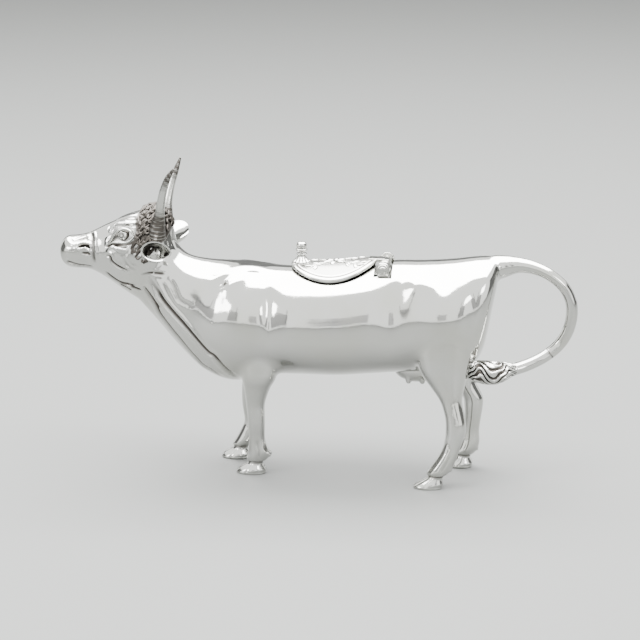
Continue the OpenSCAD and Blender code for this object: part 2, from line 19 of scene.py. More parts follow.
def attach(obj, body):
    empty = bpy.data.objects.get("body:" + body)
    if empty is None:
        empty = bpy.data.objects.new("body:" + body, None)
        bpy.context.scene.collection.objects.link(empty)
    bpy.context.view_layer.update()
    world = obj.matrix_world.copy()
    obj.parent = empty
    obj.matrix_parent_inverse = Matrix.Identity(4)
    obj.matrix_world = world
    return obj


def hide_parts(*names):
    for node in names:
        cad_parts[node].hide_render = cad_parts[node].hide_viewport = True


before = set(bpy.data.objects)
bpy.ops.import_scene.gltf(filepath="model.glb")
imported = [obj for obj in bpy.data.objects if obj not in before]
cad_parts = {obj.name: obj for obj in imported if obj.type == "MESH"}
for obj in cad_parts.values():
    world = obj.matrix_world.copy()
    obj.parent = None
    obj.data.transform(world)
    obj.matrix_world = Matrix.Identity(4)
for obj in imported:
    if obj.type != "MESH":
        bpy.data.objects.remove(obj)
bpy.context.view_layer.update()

MM = 0.001
log = logging.getLogger("cream_jug")
Rows = Sequence[Sequence[float]]
Array = np.ndarray

# ---- Sizes that the frame and the looks share ----

# Sections of the trunk from the rump to the neck, each a leaning ellipse:
# [top x, top z, bottom x, bottom z, half width].
TRUNK = [
    [52.2, 58.5, 50.6, 50.5, 0.4], [52.6, 62.5, 49.4, 42.5, 6],
    [51.4, 64.8, 47.6, 36.5, 10], [47, 65, 44.5, 33.3, 12.8],
    [39, 64, 37, 31.6, 14.3], [31, 63.4, 30, 31, 14.4],
    [23, 63.2, 23, 30.6, 14.6], [16, 62.4, 16, 30, 14.9],
    [6, 61.2, 6, 29.2, 15.3], [-5, 60.7, -5, 29.2, 15.3],
    [-15, 61, -14, 28.8, 14.6], [-24, 61.8, -20, 27, 13.9],
    [-32, 62.3, -26, 26.8, 12.6], [-37, 63.3, -33, 29.8, 10.8],
    [-39.6, 65.2, -40, 36.5, 9.4], [-40.6, 66.6, -46, 43.4, 8.5],
    [-41, 67.8, -52, 50, 7.8],
]
# Sections of the head from the neck joint to the lips, drawn the same way.
HEAD = [
    [-41, 67.8, -52, 50, 7.8], [-42.6, 74.2, -55, 51.8, 8.2],
    [-46.6, 77.8, -58, 53.8, 8], [-51, 76.4, -60, 55.2, 7.6],
    [-56, 74.4, -62.3, 56.6, 6.6], [-61, 72, -64.8, 57.9, 5.3],
    [-66, 69.4, -67.2, 58.6, 4.5], [-69.7, 68.4, -69.6, 58.8, 4.6],
    [-72.8, 68, -71.2, 58.9, 4.4], [-74.4, 66.4, -72.2, 59.2, 3.9],
    [-74.9, 64.2, -72.9, 59.6, 3.4], [-74.6, 62.4, -73.2, 60, 2.8],
]
NECK_TOP = Vector((-41, 0, 67.8))
NECK_BOTTOM = Vector((-52, 0, 50))
WALL = 0.9
LID_MIDDLE = 5.3
LID_LENGTH, LID_WIDTH, LID_THICK = 25.0, 19.4, 0.9
LID_GAP = 0.6
OPEN_LENGTH, OPEN_WIDTH = 20.4, 14.8
HINGE_X, HINGE_Z = 19.8, 61.98
SEAT_HALF, SEAT_Z = 2.6, 59.78
LINING_INSET = WALL * 1.2
CRISP = 42.0


# ---- Curves and rings ----


def spline(rows: Rows, u: float) -> Array:
    """Gives the row u rows along a smooth curve through a table.

    Args:
        rows: The table.
        u: How far along, in rows.

    Returns:
        The row there.
    """
    table = np.asarray(rows, float)
    last = len(table) - 1
    i = min(int(u), last - 1)
    t = u - i
    a, b, c, d = table[max(i - 1, 0)], table[i], table[i + 1], table[min(i + 2, last)]
    return 0.5 * (
        2 * b
        + (c - a) * t
        + (2 * a - 5 * b + 4 * c - d) * t**2
        + (3 * b - a - 3 * c + d) * t**3
    )


def along(rows: Rows, count: int, first: float = 0.0, last: float | None = None) -> Array:
    """Gives evenly stepped rows of the smooth curve through a table.

    Args:
        rows: The table.
        count: How many rows to give.
        first: Where to start, in rows.
        last: Where to stop, in rows; the end of the table if it is None.

    Returns:
        One row of the result for each step.
    """
    stop = len(rows) - 1 if last is None else last
    return np.array([spline(rows, u) for u in np.linspace(first, stop, count)])


def leaning_ring(section: Array, segments: int, inset: float = 0.0) -> Array:
    """Gives the points of a leaning elliptical section of the trunk or head.

    Args:
        section: Top x, top z, bottom x, bottom z and half width.
        segments: How many points.
        inset: How far inside the outline.

    Returns:
        The points, three columns.
    """
    top, bottom = np.array(section[0:2]), np.array(section[2:4])
    middle, half = (top + bottom) / 2, (top - bottom) / 2
    k = 1 - inset / max(np.linalg.norm(half), inset + 0.05)
    width = max(section[4] - inset, 0.05)
    a = np.linspace(0, 2 * math.pi, segments, endpoint=False)
    x = middle[0] + half[0] * k * np.cos(a)
    z = middle[1] + half[1] * k * np.cos(a)
    return np.column_stack([x, width * np.sin(a), z])


def path_frames(path: Array, up: Sequence[float]) -> tuple[Array, Array, Array]:
    """Gives the directions along and square to a path at each of its points.

    Args:
        path: The points.
        up: The direction that the second cross direction leans towards.

    Returns:
        The directions along it, to its side and up.
    """
    runs = np.gradient(path, axis=0)
    runs /= np.linalg.norm(runs, axis=1)[:, None]
    normal = np.asarray(up, float)
    ups = []
    for run in runs:
        normal = normal - run * normal.dot(run)
        normal = normal / np.linalg.norm(normal)
        ups.append(normal)
    return runs, np.cross(runs, np.array(ups)), np.array(ups)


def tube_rings(
    path: Array,
    radii: Array,
    segments: int,
    shape: Callable[[Array, float], Array] | None = None,
    up: Sequence[float] = (0.0, 0.0, 1.0),
) -> list[Array]:
    """Gives rings square to a path, for a tube or a tapering lock.

    Args:
        path: Points along the middle.
        radii: A radius, or a width and a height, at each point.
        segments: How many points in a ring.
        shape: Turns angles and the share along the path into a radius factor.
        up: The direction that the height of a ring leans towards.

    Returns:
        The rings in order.
    """
    _, sides, normals = path_frames(path, up)
    radii = np.asarray(radii, float)
    if radii.ndim == 1:
        radii = np.column_stack([radii, radii])
    a = np.linspace(0, 2 * math.pi, segments, endpoint=False)
    rings = []
    for i, point in enumerate(path):
        k = np.ones(segments) if shape is None else shape(a, i / (len(path) - 1))
        across = np.outer(np.cos(a) * radii[i, 0] * k, sides[i])
        rings.append(point + across + np.outer(np.sin(a) * radii[i, 1] * k, normals[i]))
    return rings


def loft(rings: Sequence[Array], capped: bool = True) -> bmesh.types.BMesh:
    """Draws a skin through rings of points by extruding a circle.

    Args:
        rings: Rings with the same number of points.
        capped: Whether the two ends are closed.

    Returns:
        The skin, with its faces outwards.
    """
    bm = bmesh.new()
    made = bmesh.ops.create_circle(bm, cap_ends=False, segments=len(rings[0]), radius=1)
    ring, edges = list(made["verts"]), list(bm.edges)
    for v, p in zip(ring, rings[0]):
        v.co = p
    if capped:
        bmesh.ops.contextual_create(bm, geom=edges)
    for points in rings[1:]:
        out = bmesh.ops.extrude_edge_only(bm, edges=edges)["geom"]
        fresh = {g for g in out if isinstance(g, bmesh.types.BMVert)}
        ring = [
            next(e.other_vert(v) for e in v.link_edges if e.other_vert(v) in fresh)
            for v in ring
        ]
        edges = [
            g
            for g in out
            if isinstance(g, bmesh.types.BMEdge) and fresh.issuperset(g.verts)
        ]
        for v, p in zip(ring, points):
            v.co = p
    if capped:
        bmesh.ops.contextual_create(bm, geom=edges)
    bmesh.ops.recalc_face_normals(bm, faces=bm.faces)
    return bm


def turned_profile(
    outline: Rows, segments: int, origin: Sequence[float], axis: Sequence[float]
) -> bmesh.types.BMesh:
    """Spins an outline about an axis, as on a lathe.

    Args:
        outline: Radius and height of each point, from the bottom to the top.
        segments: Steps round the axis.
        origin: Where the bottom of the axis is.
        axis: The direction of the axis.

    Returns:
        The turned solid.
    """
    bm = bmesh.new()
    verts = [bm.verts.new((r, 0, h)) for r, h in outline]
    edges = [bm.edges.new(pair) for pair in zip(verts, verts[1:])]
    bmesh.ops.spin(
        bm, geom=verts + edges, cent=(0, 0, 0), axis=(0, 0, 1), dvec=(0, 0, 0),
        angle=2 * math.pi, steps=segments, use_merge=True, use_duplicate=False,
    )
    bmesh.ops.remove_doubles(bm, verts=bm.verts, dist=1e-4)
    bmesh.ops.recalc_face_normals(bm, faces=bm.faces)
    turn = Vector((0, 0, 1)).rotation_difference(Vector(axis)).to_matrix().to_4x4()
    bmesh.ops.transform(
        bm, matrix=Matrix.Translation(Vector(origin)) @ turn, verts=bm.verts
    )
    return bm


def joined(parts: Sequence[bmesh.types.BMesh]) -> bmesh.types.BMesh:
    """Puts several meshes into one and frees them.

    Args:
        parts: The meshes.

    Returns:
        One mesh that holds them all.
    """
    whole = bmesh.new()
    for part in parts:
        mesh = bpy.data.meshes.new("part")
        part.to_mesh(mesh)
        part.free()
        whole.from_mesh(mesh)
        bpy.data.meshes.remove(mesh)
    return whole


def as_mesh(shape: bmesh.types.BMesh | bpy.types.Mesh) -> bpy.types.Mesh:
    """Turns a bmesh, which is freed, into a mesh; a mesh is given back.

    Args:
        shape: The bmesh or the mesh.

    Returns:
        The mesh.
    """
    if isinstance(shape, bpy.types.Mesh):
        return shape
    mesh = bpy.data.meshes.new("shape")
    shape.to_mesh(mesh)
    shape.free()
    return mesh


def modified(
    shape: bmesh.types.BMesh | bpy.types.Mesh, kind: str, **settings: object
) -> bpy.types.Mesh:
    """Applies one modifier to a mesh.

    Args:
        shape: The mesh, which is used up.
        kind: The modifier's type.
        settings: Its settings.

    Returns:
        The finished mesh.
    """
    raw = as_mesh(shape)
    ob = bpy.data.objects.new("raw", raw)
    bpy.context.scene.collection.objects.link(ob)
    modifier = ob.modifiers.new("work", kind)
    for name, value in settings.items():
        setattr(modifier, name, value)
    graph = bpy.context.evaluated_depsgraph_get()
    mesh = bpy.data.meshes.new_from_object(ob.evaluated_get(graph))
    bpy.data.objects.remove(ob)
    bpy.data.meshes.remove(raw)
    return mesh


def cut(
    shape: bmesh.types.BMesh | bpy.types.Mesh,
    tool: bmesh.types.BMesh | bpy.types.Mesh,
    kind: str = "DIFFERENCE",
) -> bpy.types.Mesh:
    """Cuts one closed mesh with another.

    Args:
        shape: The mesh that is cut, which is used up.
        tool: The mesh that cuts it, which is freed.
        kind: "DIFFERENCE", "INTERSECT" or "UNION".

    Returns:
        What is left.
    """
    blade_mesh = as_mesh(tool)
    blade = bpy.data.objects.new("blade", blade_mesh)
    bpy.context.scene.collection.objects.link(blade)
    mesh = modified(shape, "BOOLEAN", operation=kind, solver="MANIFOLD", object=blade)
    bpy.data.objects.remove(blade)
    bpy.data.meshes.remove(blade_mesh)
    return mesh


def block(
    low: Sequence[float], high: Sequence[float], turn: Matrix | None = None
) -> bmesh.types.BMesh:
    """Draws a block.

    Args:
        low: Its low corner.
        high: Its high corner.
        turn: What moves it into place.

    Returns:
        The block.
    """
    bm = bmesh.new()
    bmesh.ops.create_cube(bm, size=1)
    lo, hi = Vector(low), Vector(high)
    place = Matrix.Translation((lo + hi) / 2) @ Matrix.Diagonal((*(hi - lo), 1))
    bmesh.ops.transform(bm, matrix=(turn or Matrix()) @ place, verts=bm.verts)
    return bm


# ---- Modelling in wax ----


@dataclass(frozen=True)
class Form:
    """A swelling or a hollow that is modelled on both sides of the cow."""

    at: tuple[float, float, float]
    reach: tuple[float, float, float]
    rise: float


@dataclass(frozen=True)
class Line:
    """A chased line, with a lip on each side, on both sides of the cow."""

    path: tuple[tuple[float, float, float], ...]
    width: float
    depth: float
    lip: float = 0.0
    dark: float = 1.0
    side: int = 0


class Wax:
    """A dense skin that is pushed about point by point, in millimetres."""

    def __init__(self, mesh: bpy.types.Mesh) -> None:
        """Takes over a mesh.

        Args:
            mesh: The skin.
        """
        self.mesh = mesh
        count = len(mesh.vertices)
        self.co = np.empty(count * 3)
        mesh.vertices.foreach_get("co", self.co)
        self.co = self.co.reshape(-1, 3)
        ends = np.empty(len(mesh.edges) * 2, np.int32)
        mesh.edges.foreach_get("vertices", ends)
        self.a, self.b = ends.reshape(-1, 2).T
        self.near = np.bincount(self.a, minlength=count) + np.bincount(
            self.b, minlength=count
        )
        self.dark = np.zeros(count)

    def write(self) -> None:
        """Puts the points and their darkening, tarnish and painted shade, back into the mesh."""
        self.mesh.vertices.foreach_set("co", self.co.ravel())
        held = self.mesh.attributes
        # The points carry tarnish and painted shade in one attribute.
        darkening = held.get("patina") or held.new("patina", "FLOAT", "POINT")
        darkening.data.foreach_set("value", self.dark.astype(np.float32))
        self.mesh.update()

    def normals(self) -> Array:
        """Gives the direction outwards at each point.

        Returns:
            The directions, three columns.
        """
        self.write()
        out = np.empty(len(self.co) * 3, np.float32)
        self.mesh.vertex_normals.foreach_get("vector", out)
        return out.reshape(-1, 3).astype(float)

    def mean(self, values: Array) -> Array:
        """Gives the mean of each point's neighbours.

        Args:
            values: One value, or a row of them, for each point.

        Returns:
            The means, in the same form.
        """
        flat = values.reshape(len(self.co), -1)
        out = np.empty_like(flat)
        for j in range(flat.shape[1]):
            total = np.bincount(self.a, flat[self.b, j], len(flat))
            total += np.bincount(self.b, flat[self.a, j], len(flat))
            out[:, j] = total / np.maximum(self.near, 1)
        return out.reshape(values.shape)

    def smooth(self, rounds: int, weight: Array | float = 1.0) -> None:
        """Rubs the skin smooth.

        Args:
            rounds: How many times.
            weight: How much of each move is made, for all points or each one.
        """
        w = np.broadcast_to(weight, (len(self.co),))[:, None] * 0.6
        for _ in range(rounds):
            self.co += (self.mean(self.co) - self.co) * w

    def around(self, path: Array, up: Sequence[float] = (0.0, 0.0, 1.0)) -> tuple[Array, Array]:
        """Gives each point's share along a path and its angle round it.

        Args:
            path: Points along the middle, in close steps.
            up: The direction from which the angle is a quarter turn.

        Returns:
            The shares and the angles.
        """
        runs, sides, ups = path_frames(path, up)
        near = np.linalg.norm(self.co[:, None, :] - path[None], axis=2).argmin(1)
        off = self.co - path[near]
        step = np.linalg.norm(path[-1] - path[-2])
        share = (near + np.clip((off * runs[near]).sum(1) / step, -1, 1)) / (len(path) - 1)
        return share, np.arctan2((off * ups[near]).sum(1), (off * sides[near]).sum(1))

    def model(self, forms: Sequence[Form]) -> None:
        """Adds swellings and hollows.

        Args:
            forms: The forms, given for the right side.
        """
        q = self.co * [1, 0, 1] + np.abs(self.co) * [0, 1, 0]
        lift = np.zeros(len(q))
        for form in forms:
            d = ((q - form.at) / form.reach) ** 2
            lift += form.rise * np.exp(-d.sum(1))
        self.co += self.normals() * lift[:, None]

    def chase(self, lines: Sequence[Line]) -> None:
        """Chases lines into the skin and darkens them.

        Args:
            lines: The lines, given for the right side.
        """
        out = self.normals()
        q = self.co * [1, 0, 1] + np.abs(self.co) * [0, 1, 0]
        for line in lines:
            path = along(line.path, 10 * len(line.path))
            reach = line.width * 4
            box = np.all((q > path.min(0) - reach) & (q < path.max(0) + reach), axis=1)
            box &= self.co[:, 1] * line.side >= 0
            idx = np.nonzero(box)[0]
            gap = np.linalg.norm(q[idx, None, :] - path[None], axis=2)
            where = gap.argmin(1) / (len(path) - 1)
            d = gap.min(1) / line.width
            taper = np.clip(np.minimum(where, 1 - where) * 5 + 0.04, 0, 1)
            cut = -line.depth * np.exp(-(d**2)) + line.lip * np.exp(-((d - 1.7) ** 2))
            self.co[idx] += out[idx] * (cut * taper)[:, None]
            darkening = line.dark * np.exp(-((d * 1.1) ** 2)) * taper
            self.dark[idx] = np.maximum(self.dark[idx], darkening)

    def hollow_tarnish_and_shade(self, gain: float, rounds: int = 6) -> None:
        """Darkens the hollows of the skin, as tarnish and as painted shade like ambient occlusion.

        Args:
            gain: Darkening for each millimetre that a point lies below its neighbours.
            rounds: How wide the neighbourhood is.
        """
        base = self.co.copy()
        for _ in range(rounds):
            base += (self.mean(base) - base) * 0.8
        sink = ((base - self.co) * self.normals()).sum(1)
        self.dark = np.maximum(self.dark, np.clip(sink * gain, 0, 1))


@dataclass(frozen=True)
class Shade:
    """An oval that darkens the skin, seen from the side: on the crown, and as painted shadow in the
    eye socket and behind it.
    """

    at: tuple[float, float]
    reach: tuple[float, float]
    edge: float
    gain: float
    most: float
    off: float = 0.0

    def lay(self, wax: Wax) -> None:
        """Darkens a skin inside the oval.

        Args:
            wax: The skin.
        """
        x, y, z = wax.co.T
        far = ((x - self.at[0]) / self.reach[0]) ** 2 + ((z - self.at[1]) / self.reach[1]) ** 2
        dark = np.clip((self.edge - far) * self.gain, 0, self.most) * (np.abs(y) >= self.off)
        wax.dark = np.maximum(wax.dark, dark)


# ---- Shader maths ----


class Value:
    """A number that varies over a surface; the operators add Math nodes."""

    def __init__(self, paint: "Paint", socket: bpy.types.NodeSocket) -> None:
        """Wraps a socket.

        Args:
            paint: The material that is being made.
            socket: The output that gives the number.
        """
        self.paint, self.socket = paint, socket

    def _math(self, operation: str, a: object, b: object) -> "Value":
        """Adds a Math node."""
        return self.paint.node("ShaderNodeMath", {"operation": operation}, {0: a, 1: b})

    def __add__(self, other: object) -> "Value":
        """Gives the sum."""
        return self._math("ADD", self, other)

    def __radd__(self, other: object) -> "Value":
        """Gives the sum, with the number first."""
        return self._math("ADD", other, self)

    def __sub__(self, other: object) -> "Value":
        """Gives the difference."""
        return self._math("SUBTRACT", self, other)

    def __rsub__(self, other: object) -> "Value":
        """Gives the difference, with the number first."""
        return self._math("SUBTRACT", other, self)

    def __mul__(self, other: object) -> "Value":
        """Gives the product."""
        return self._math("MULTIPLY", self, other)

    def __rmul__(self, other: object) -> "Value":
        """Gives the product, with the number first."""
        return self._math("MULTIPLY", other, self)

    def over(self, edge: object) -> "Value":
        """Gives 1 where the value is over an edge, and 0 elsewhere."""
        return self._math("GREATER_THAN", self, edge)


class Paint:
    """A material in the making."""

    def __init__(self, name: str) -> None:
        """Starts a material.

        Args:
            name: Its name.
        """
        self.material = bpy.data.materials.new(name)
        self.material.use_nodes = True
        self.tree = self.material.node_tree
        self.tree.nodes.clear()

    def node(
        self, kind: str, settings: dict | None = None, inputs: dict | None = None,
        output: int | str = 0,
    ) -> Value:
        """Adds a node.

        Args:
            kind: The node's type.
            settings: Its settings, which are set first; a ramp's stops go under "stops".
            inputs: Values or links by socket name or number.
            output: Which output to give.

        Returns:
            The output.
        """
        node = self.tree.nodes.new(kind)
        for name, value in (settings or {}).items():
            if name == "stops":
                ramp = node.color_ramp
                while len(ramp.elements) < len(value):
                    ramp.elements.new(1.0)
                for element, (place, tone) in zip(ramp.elements, value):
                    element.position, element.color = place, tone
            else:
                setattr(node, name, value)
        for name, value in (inputs or {}).items():
            if isinstance(value, Value):
                self.tree.links.new(value.socket, node.inputs[name])
            else:
                node.inputs[name].default_value = value
        return Value(self, node.outputs[output])

    def noise(
        self, scale: float, detail: float = 2.0, stretch: Sequence[float] = (1, 1, 1)
    ) -> Value:
        """Adds noise on the piece's own coordinates.

        Args:
            scale: Features to the metre.
            detail: How much finer noise is added.
            stretch: Scale along each axis.

        Returns:
            The noise, about 0.5.
        """
        place = self.node("ShaderNodeTexCoord", output="Object")
        laid = self.node("ShaderNodeMapping", {}, {"Vector": place, "Scale": stretch})
        return self.node(
            "ShaderNodeTexNoise", {}, {"Vector": laid, "Scale": scale, "Detail": detail}
        )

    def darkening(self) -> Value:
        """Gives the darkening that the piece's points carry: tarnish and painted shade."""
        return self.node(
            "ShaderNodeAttribute", {"attribute_name": "patina"}, output="Fac"
        )

    def end(self, shader: Value) -> None:
        """Joins a shader to the material's output."""
        output = self.tree.nodes.new("ShaderNodeOutputMaterial")
        self.tree.links.new(shader.socket, output.inputs["Surface"])

    def spread(self, value: Value, low: float, high: float) -> Value:
        """Stretches a range of a number over 0 to 1.

        Args:
            value: The number.
            low: What becomes 0.
            high: What becomes 1.

        Returns:
            The stretched number, held to 0 and 1.
        """
        return self.node(
            "ShaderNodeMapRange", {}, {0: value, 1: low, 2: high, 3: 0.0, 4: 1.0}
        )

    def mix(self, share: object, a: Value | Sequence[float], b: Sequence[float]) -> Value:
        """Mixes two colours.

        Args:
            share: How much of the second.
            a: The first.
            b: The second.

        Returns:
            The mixed colour.
        """
        return self.node(
            "ShaderNodeMix", {"data_type": "RGBA"}, {0: share, 6: a, 7: b}, output=2
        )


class Bump(Enum):
    """How the surface of a finish is worked."""

    POLISHED = 0.10
    CAST = 0.35
    CHASED = 0.22


@dataclass(frozen=True)
class Silver:
    """A silver finish, from mirror polish to blackened recesses.

    Waves, grain and pits are features to the metre. The blackening in the recesses is tarnish and
    painted shade; it shows from the first of its two limits, and is black from the second.
    """

    name: str
    tone: tuple[float, float, float] = (0.485, 0.485, 0.468)
    shade: tuple[float, float, float] = (0.055, 0.05, 0.045)
    roughness: float = 0.07
    wear: float = 0.05
    bump: Bump = Bump.POLISHED
    wave: float = 26.0
    grain: float = 900.0
    pits: float = 210.0
    bump_depth: float = 0.0016
    tarnish_and_shade_range: tuple[float, float] = (0.08, 0.62)

    def make(self) -> bpy.types.Material:
        """Makes the material.

        Returns:
            The material.
        """
        paint = Paint(self.name)
        darkening = paint.darkening()
        cloud = paint.noise(self.wave * 1.5, 4.0)
        hair = paint.noise(self.grain, 2.0, (1.0, 1.0, 5.0))
        # The blackening mixed in here is tarnish and painted shade.
        tarnish_and_shade_share = paint.spread(darkening, *self.tarnish_and_shade_range)
        haze = paint.spread(cloud, 0.45, 0.8)
        dulled = (self.tone[0] * 0.93, self.tone[1] * 0.93, self.tone[2] * 0.88, 1)
        warm = paint.mix(haze, (*self.tone, 1), dulled)
        colour = paint.mix(tarnish_and_shade_share, warm, (*self.shade, 1))
        rough = self.roughness + haze * self.wear + hair * (self.wear * 0.5) + tarnish_and_shade_share * 0.35
        pits = paint.node(
            "ShaderNodeTexVoronoi", {"feature": "F1"},
            {"Vector": paint.node("ShaderNodeTexCoord", output="Object"), "Scale": self.pits},
        )
        pit = paint.spread(pits, 0.03, 0.11)
        some = paint.noise(60.0, 1.0).over(0.6)
        height = paint.noise(self.wave, 1.5) * 1.0 + hair * 0.012
        height = height - (1 - pit) * some * 0.05
        bumped = paint.node(
            "ShaderNodeBump", {},
            {"Strength": self.bump.value, "Distance": self.bump_depth, "Height": height},
        )
        shader = paint.node(
            "ShaderNodeBsdfPrincipled", {},
            {"Base Color": colour, "Metallic": 1.0, "Roughness": rough, "Normal": bumped},
        )
        paint.end(shader)
        return paint.material


RAISED = Silver("raised_silver_polish", wave=55.0, bump=Bump.CHASED)
CAST = Silver("cast_silver", roughness=0.10, wear=0.08, bump=Bump.CAST, wave=110.0)
OXIDISED = Silver("oxidised_silver", roughness=0.14, wear=0.08, bump=Bump.CHASED)
LID_SILVER = Silver("lid_silver", roughness=0.09, wear=0.06, bump=Bump.CHASED)
HINGE_SILVER = Silver("hinge_silver", roughness=0.12, wear=0.08, bump=Bump.CAST)


# ---- Placing pieces ----


class Workshop:
    """Places finished meshes as pieces of the jug."""

    def __init__(self) -> None:
        """Makes each finish once."""
        self.materials: dict[str, bpy.types.Material] = {}

    def finish(self, silver: Silver) -> bpy.types.Material:
        """Gives a finish's material.

        Args:
            silver: The finish.

        Returns:
            Its material.
        """
        if silver.name not in self.materials:
            self.materials[silver.name] = silver.make()
        return self.materials[silver.name]

    def place(
        self, shape: bmesh.types.BMesh | bpy.types.Mesh, name: str, finish: Silver,
        slot: str, nodes: Sequence[str] = (), body: str = "jug", dark: float = 0.0,
        crisp: float = CRISP,
    ) -> bpy.types.Object:
        """Places a piece.

        Args:
            shape: Its shape in millimetres; a bmesh is freed.
            name: Its name.
            finish: Its finish.
            slot: A material slot's name; not used.
            nodes: The CAD nodes that it stands for.
            body: The CAD body that it rides on.
            dark: Patina where the shape carries none.
            crisp: Edges that turn more than this many degrees are sharp.

        Returns:
            The piece.
        """
        mesh = as_mesh(shape)
        mesh.name = name
        if "patina" not in mesh.attributes:
            darkening = mesh.attributes.new("patina", "FLOAT", "POINT")
            darkening.data.foreach_set("value", np.full(len(mesh.vertices), dark, np.float32))
        mesh.transform(Matrix.Scale(MM, 4))
        mesh.shade_smooth()
        mesh.set_sharp_from_angle(angle=math.radians(crisp))
        mesh.materials.clear()
        mesh.materials.append(self.finish(finish))
        piece = bpy.data.objects.new(name, mesh)
        bpy.context.scene.collection.objects.link(piece)
        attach(piece, body)
        if nodes:
            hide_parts(*nodes)
        log.info("%s: %d faces", name, len(mesh.polygons))
        return piece


# ---- Camera, floor and lights ----


# Soft boxes: name, place, width and height, radiance. All in metres.
SOFTBOXES = (
    ("overhead", (0.0, 0.12, 0.82), (1.2, 1.15), 29.0),
    ("front_left", (-0.95, -0.75, 0.55), (0.36, 0.30), 18.0),
    ("front_right", (0.85, -0.95, 0.60), (0.30, 0.26), 15.0),
)
# Dark screens that only reflections show: name, place, width and height, tone.
SCREENS = (
    ("lens_hood", (-0.100, -0.80, 0.185), (0.040, 0.016), 0.01),
    ("tripod", (-0.062, -0.80, 0.175), (0.012, 0.026), 0.01),
    ("edge_left", (-0.46, -0.80, 0.33), (0.020, 0.40), 0.03),
    ("edge_right", (0.42, -0.85, 0.33), (0.020, 0.40), 0.03),
    ("panel_left", (-0.66, -0.90, 0.26), (0.34, 0.36), 0.22),
    ("panel_middle", (0.02, -1.15, 0.24), (0.34, 0.30), 0.30),
    ("panel_right", (0.62, -0.95, 0.26), (0.30, 0.36), 0.20),
    ("side_left", (-1.5, 0.25, 0.42), (1.6, 0.9), 0.10),
    ("side_right", (1.5, 0.25, 0.42), (1.6, 0.9), 0.10),
    ("far_wall", (0.0, 1.9, 0.45), (3.0, 0.8), 0.20),
)


@dataclass
class Studio:
    """A pale sweep under soft boxes, seen through a long lens. Sizes are in metres."""

    distance: float = 0.7
    azimuth: float = 7.0
    elevation: float = 14.0
    lens: float = 136.2
    target: tuple[float, float, float] = (0.001, 0.0, 0.045)
    surroundings: tuple[float, float, float] = (2.9, 2.94, 2.88)
    floor_tone: tuple[float, float, float] = (0.1035, 0.106, 0.1028)

    def camera(self) -> None:
        """Makes the camera."""
        data = bpy.data.cameras.new("camera")
        data.lens, data.sensor_width = self.lens, 36.0
        data.clip_start, data.clip_end = 0.01, 50.0
        a, e = math.radians(self.azimuth), math.radians(self.elevation)
        back = Vector(
            (math.sin(a) * math.cos(e), -math.cos(a) * math.cos(e), math.sin(e))
        )
        camera = bpy.data.objects.new("camera", data)
        camera.location = Vector(self.target) + back * self.distance
        camera.rotation_mode = "QUATERNION"
        camera.rotation_quaternion = (-back).to_track_quat("-Z", "Y")
        bpy.context.scene.collection.objects.link(camera)
        bpy.context.scene.camera = camera

    def stage_piece(
        self, bm: bmesh.types.BMesh, name: str, tone: Sequence[float], roughness: float
    ) -> bpy.types.Object:
        """Places a floor or a screen, which isn't part of the jug.

        Args:
            bm: Its shape in metres, which is freed.
            name: Its name.
            tone: Its colour.
            roughness: Its roughness.

        Returns:
            The object.
        """
        mesh = bpy.data.meshes.new(name)
        bm.to_mesh(mesh)
        bm.free()
        mesh.shade_smooth()
        paint = Paint(name)
        shader = paint.node(
            "ShaderNodeBsdfPrincipled", {},
            {"Base Color": (*tone, 1), "Roughness": roughness, "Specular IOR Level": 0.2},
        )
        paint.end(shader)
        mesh.materials.append(paint.material)
        ob = bpy.data.objects.new(name, mesh)
        bpy.context.scene.collection.objects.link(ob)
        return ob

    def floor(self) -> None:
        """Makes the floor, a wide pale disc."""
        outline = [(0.0, 0.0), (0.4, 0.0), (1.2, 0.0), (2.2, 0.0), (2.2, -0.02), (0.0, -0.02)]
        bm = turned_profile(outline, 96, (0, 0, 0), (0, 0, 1))
        self.stage_piece(bm, "floor", self.floor_tone, 0.55)

    def softbox(
        self, name: str, at: Sequence[float], size: tuple[float, float], radiance: float
    ) -> None:
        """Hangs a soft box that faces the jug.

        Args:
            name: Its name.
            at: Where it hangs.
            size: Its width and height.
            radiance: How bright its face is.
        """
        data = bpy.data.lights.new(name, "AREA")
        data.shape = "RECTANGLE"
        data.size, data.size_y = size
        data.energy = radiance * math.pi * size[0] * size[1]
        light = bpy.data.objects.new(name, data)
        light.location = at
        aim = Vector(self.target) - Vector(at)
        light.rotation_mode = "QUATERNION"
        light.rotation_quaternion = aim.to_track_quat("-Z", "Y")
        light.visible_camera = False
        bpy.context.scene.collection.objects.link(light)

    def screen(
        self, name: str, at: Sequence[float], size: tuple[float, float], tone: float
    ) -> None:
        """Hangs a dark screen that only the silver sees.

        Args:
            name: Its name.
            at: Its middle.
            size: Its width and height.
            tone: How dark it is.
        """
        bm = bmesh.new()
        bmesh.ops.create_grid(bm, x_segments=2, y_segments=2, size=0.5)
        bmesh.ops.scale(bm, vec=(size[0], size[1], 1), verts=bm.verts)
        turn = (Vector(self.target) - Vector(at)).to_track_quat("Z", "Y").to_matrix().to_4x4()
        bmesh.ops.transform(bm, matrix=Matrix.Translation(Vector(at)) @ turn, verts=bm.verts)
        ob = self.stage_piece(bm, name, (tone, tone, tone), 0.9)
        ob.visible_camera = False
        ob.visible_diffuse = False
        ob.visible_shadow = False

    def build(self) -> None:
        """Sets up the whole studio."""
        self.camera()
        self.floor()
        world = bpy.data.worlds.new("surroundings")
        world.use_nodes = True
        world.node_tree.nodes["Background"].inputs[0].default_value = (*self.surroundings, 1)
        bpy.context.scene.world = world
        for box in SOFTBOXES:
            self.softbox(*box)
        for screen in SCREENS:
            self.screen(*screen)
        self.horizon()

    def horizon(self) -> None:
        """Rings the floor with a low dark edge that only the silver sees."""
        bm = turned_profile([(1.6, 0.0), (1.6, 0.022)], 96, (0, 0, 0), (0, 0, 1))
        ring = self.stage_piece(bm, "horizon", (0.12, 0.12, 0.115), 0.9)
        ring.visible_camera = ring.visible_diffuse = ring.visible_shadow = False


# ---- Forms and chased lines of the trunk ----

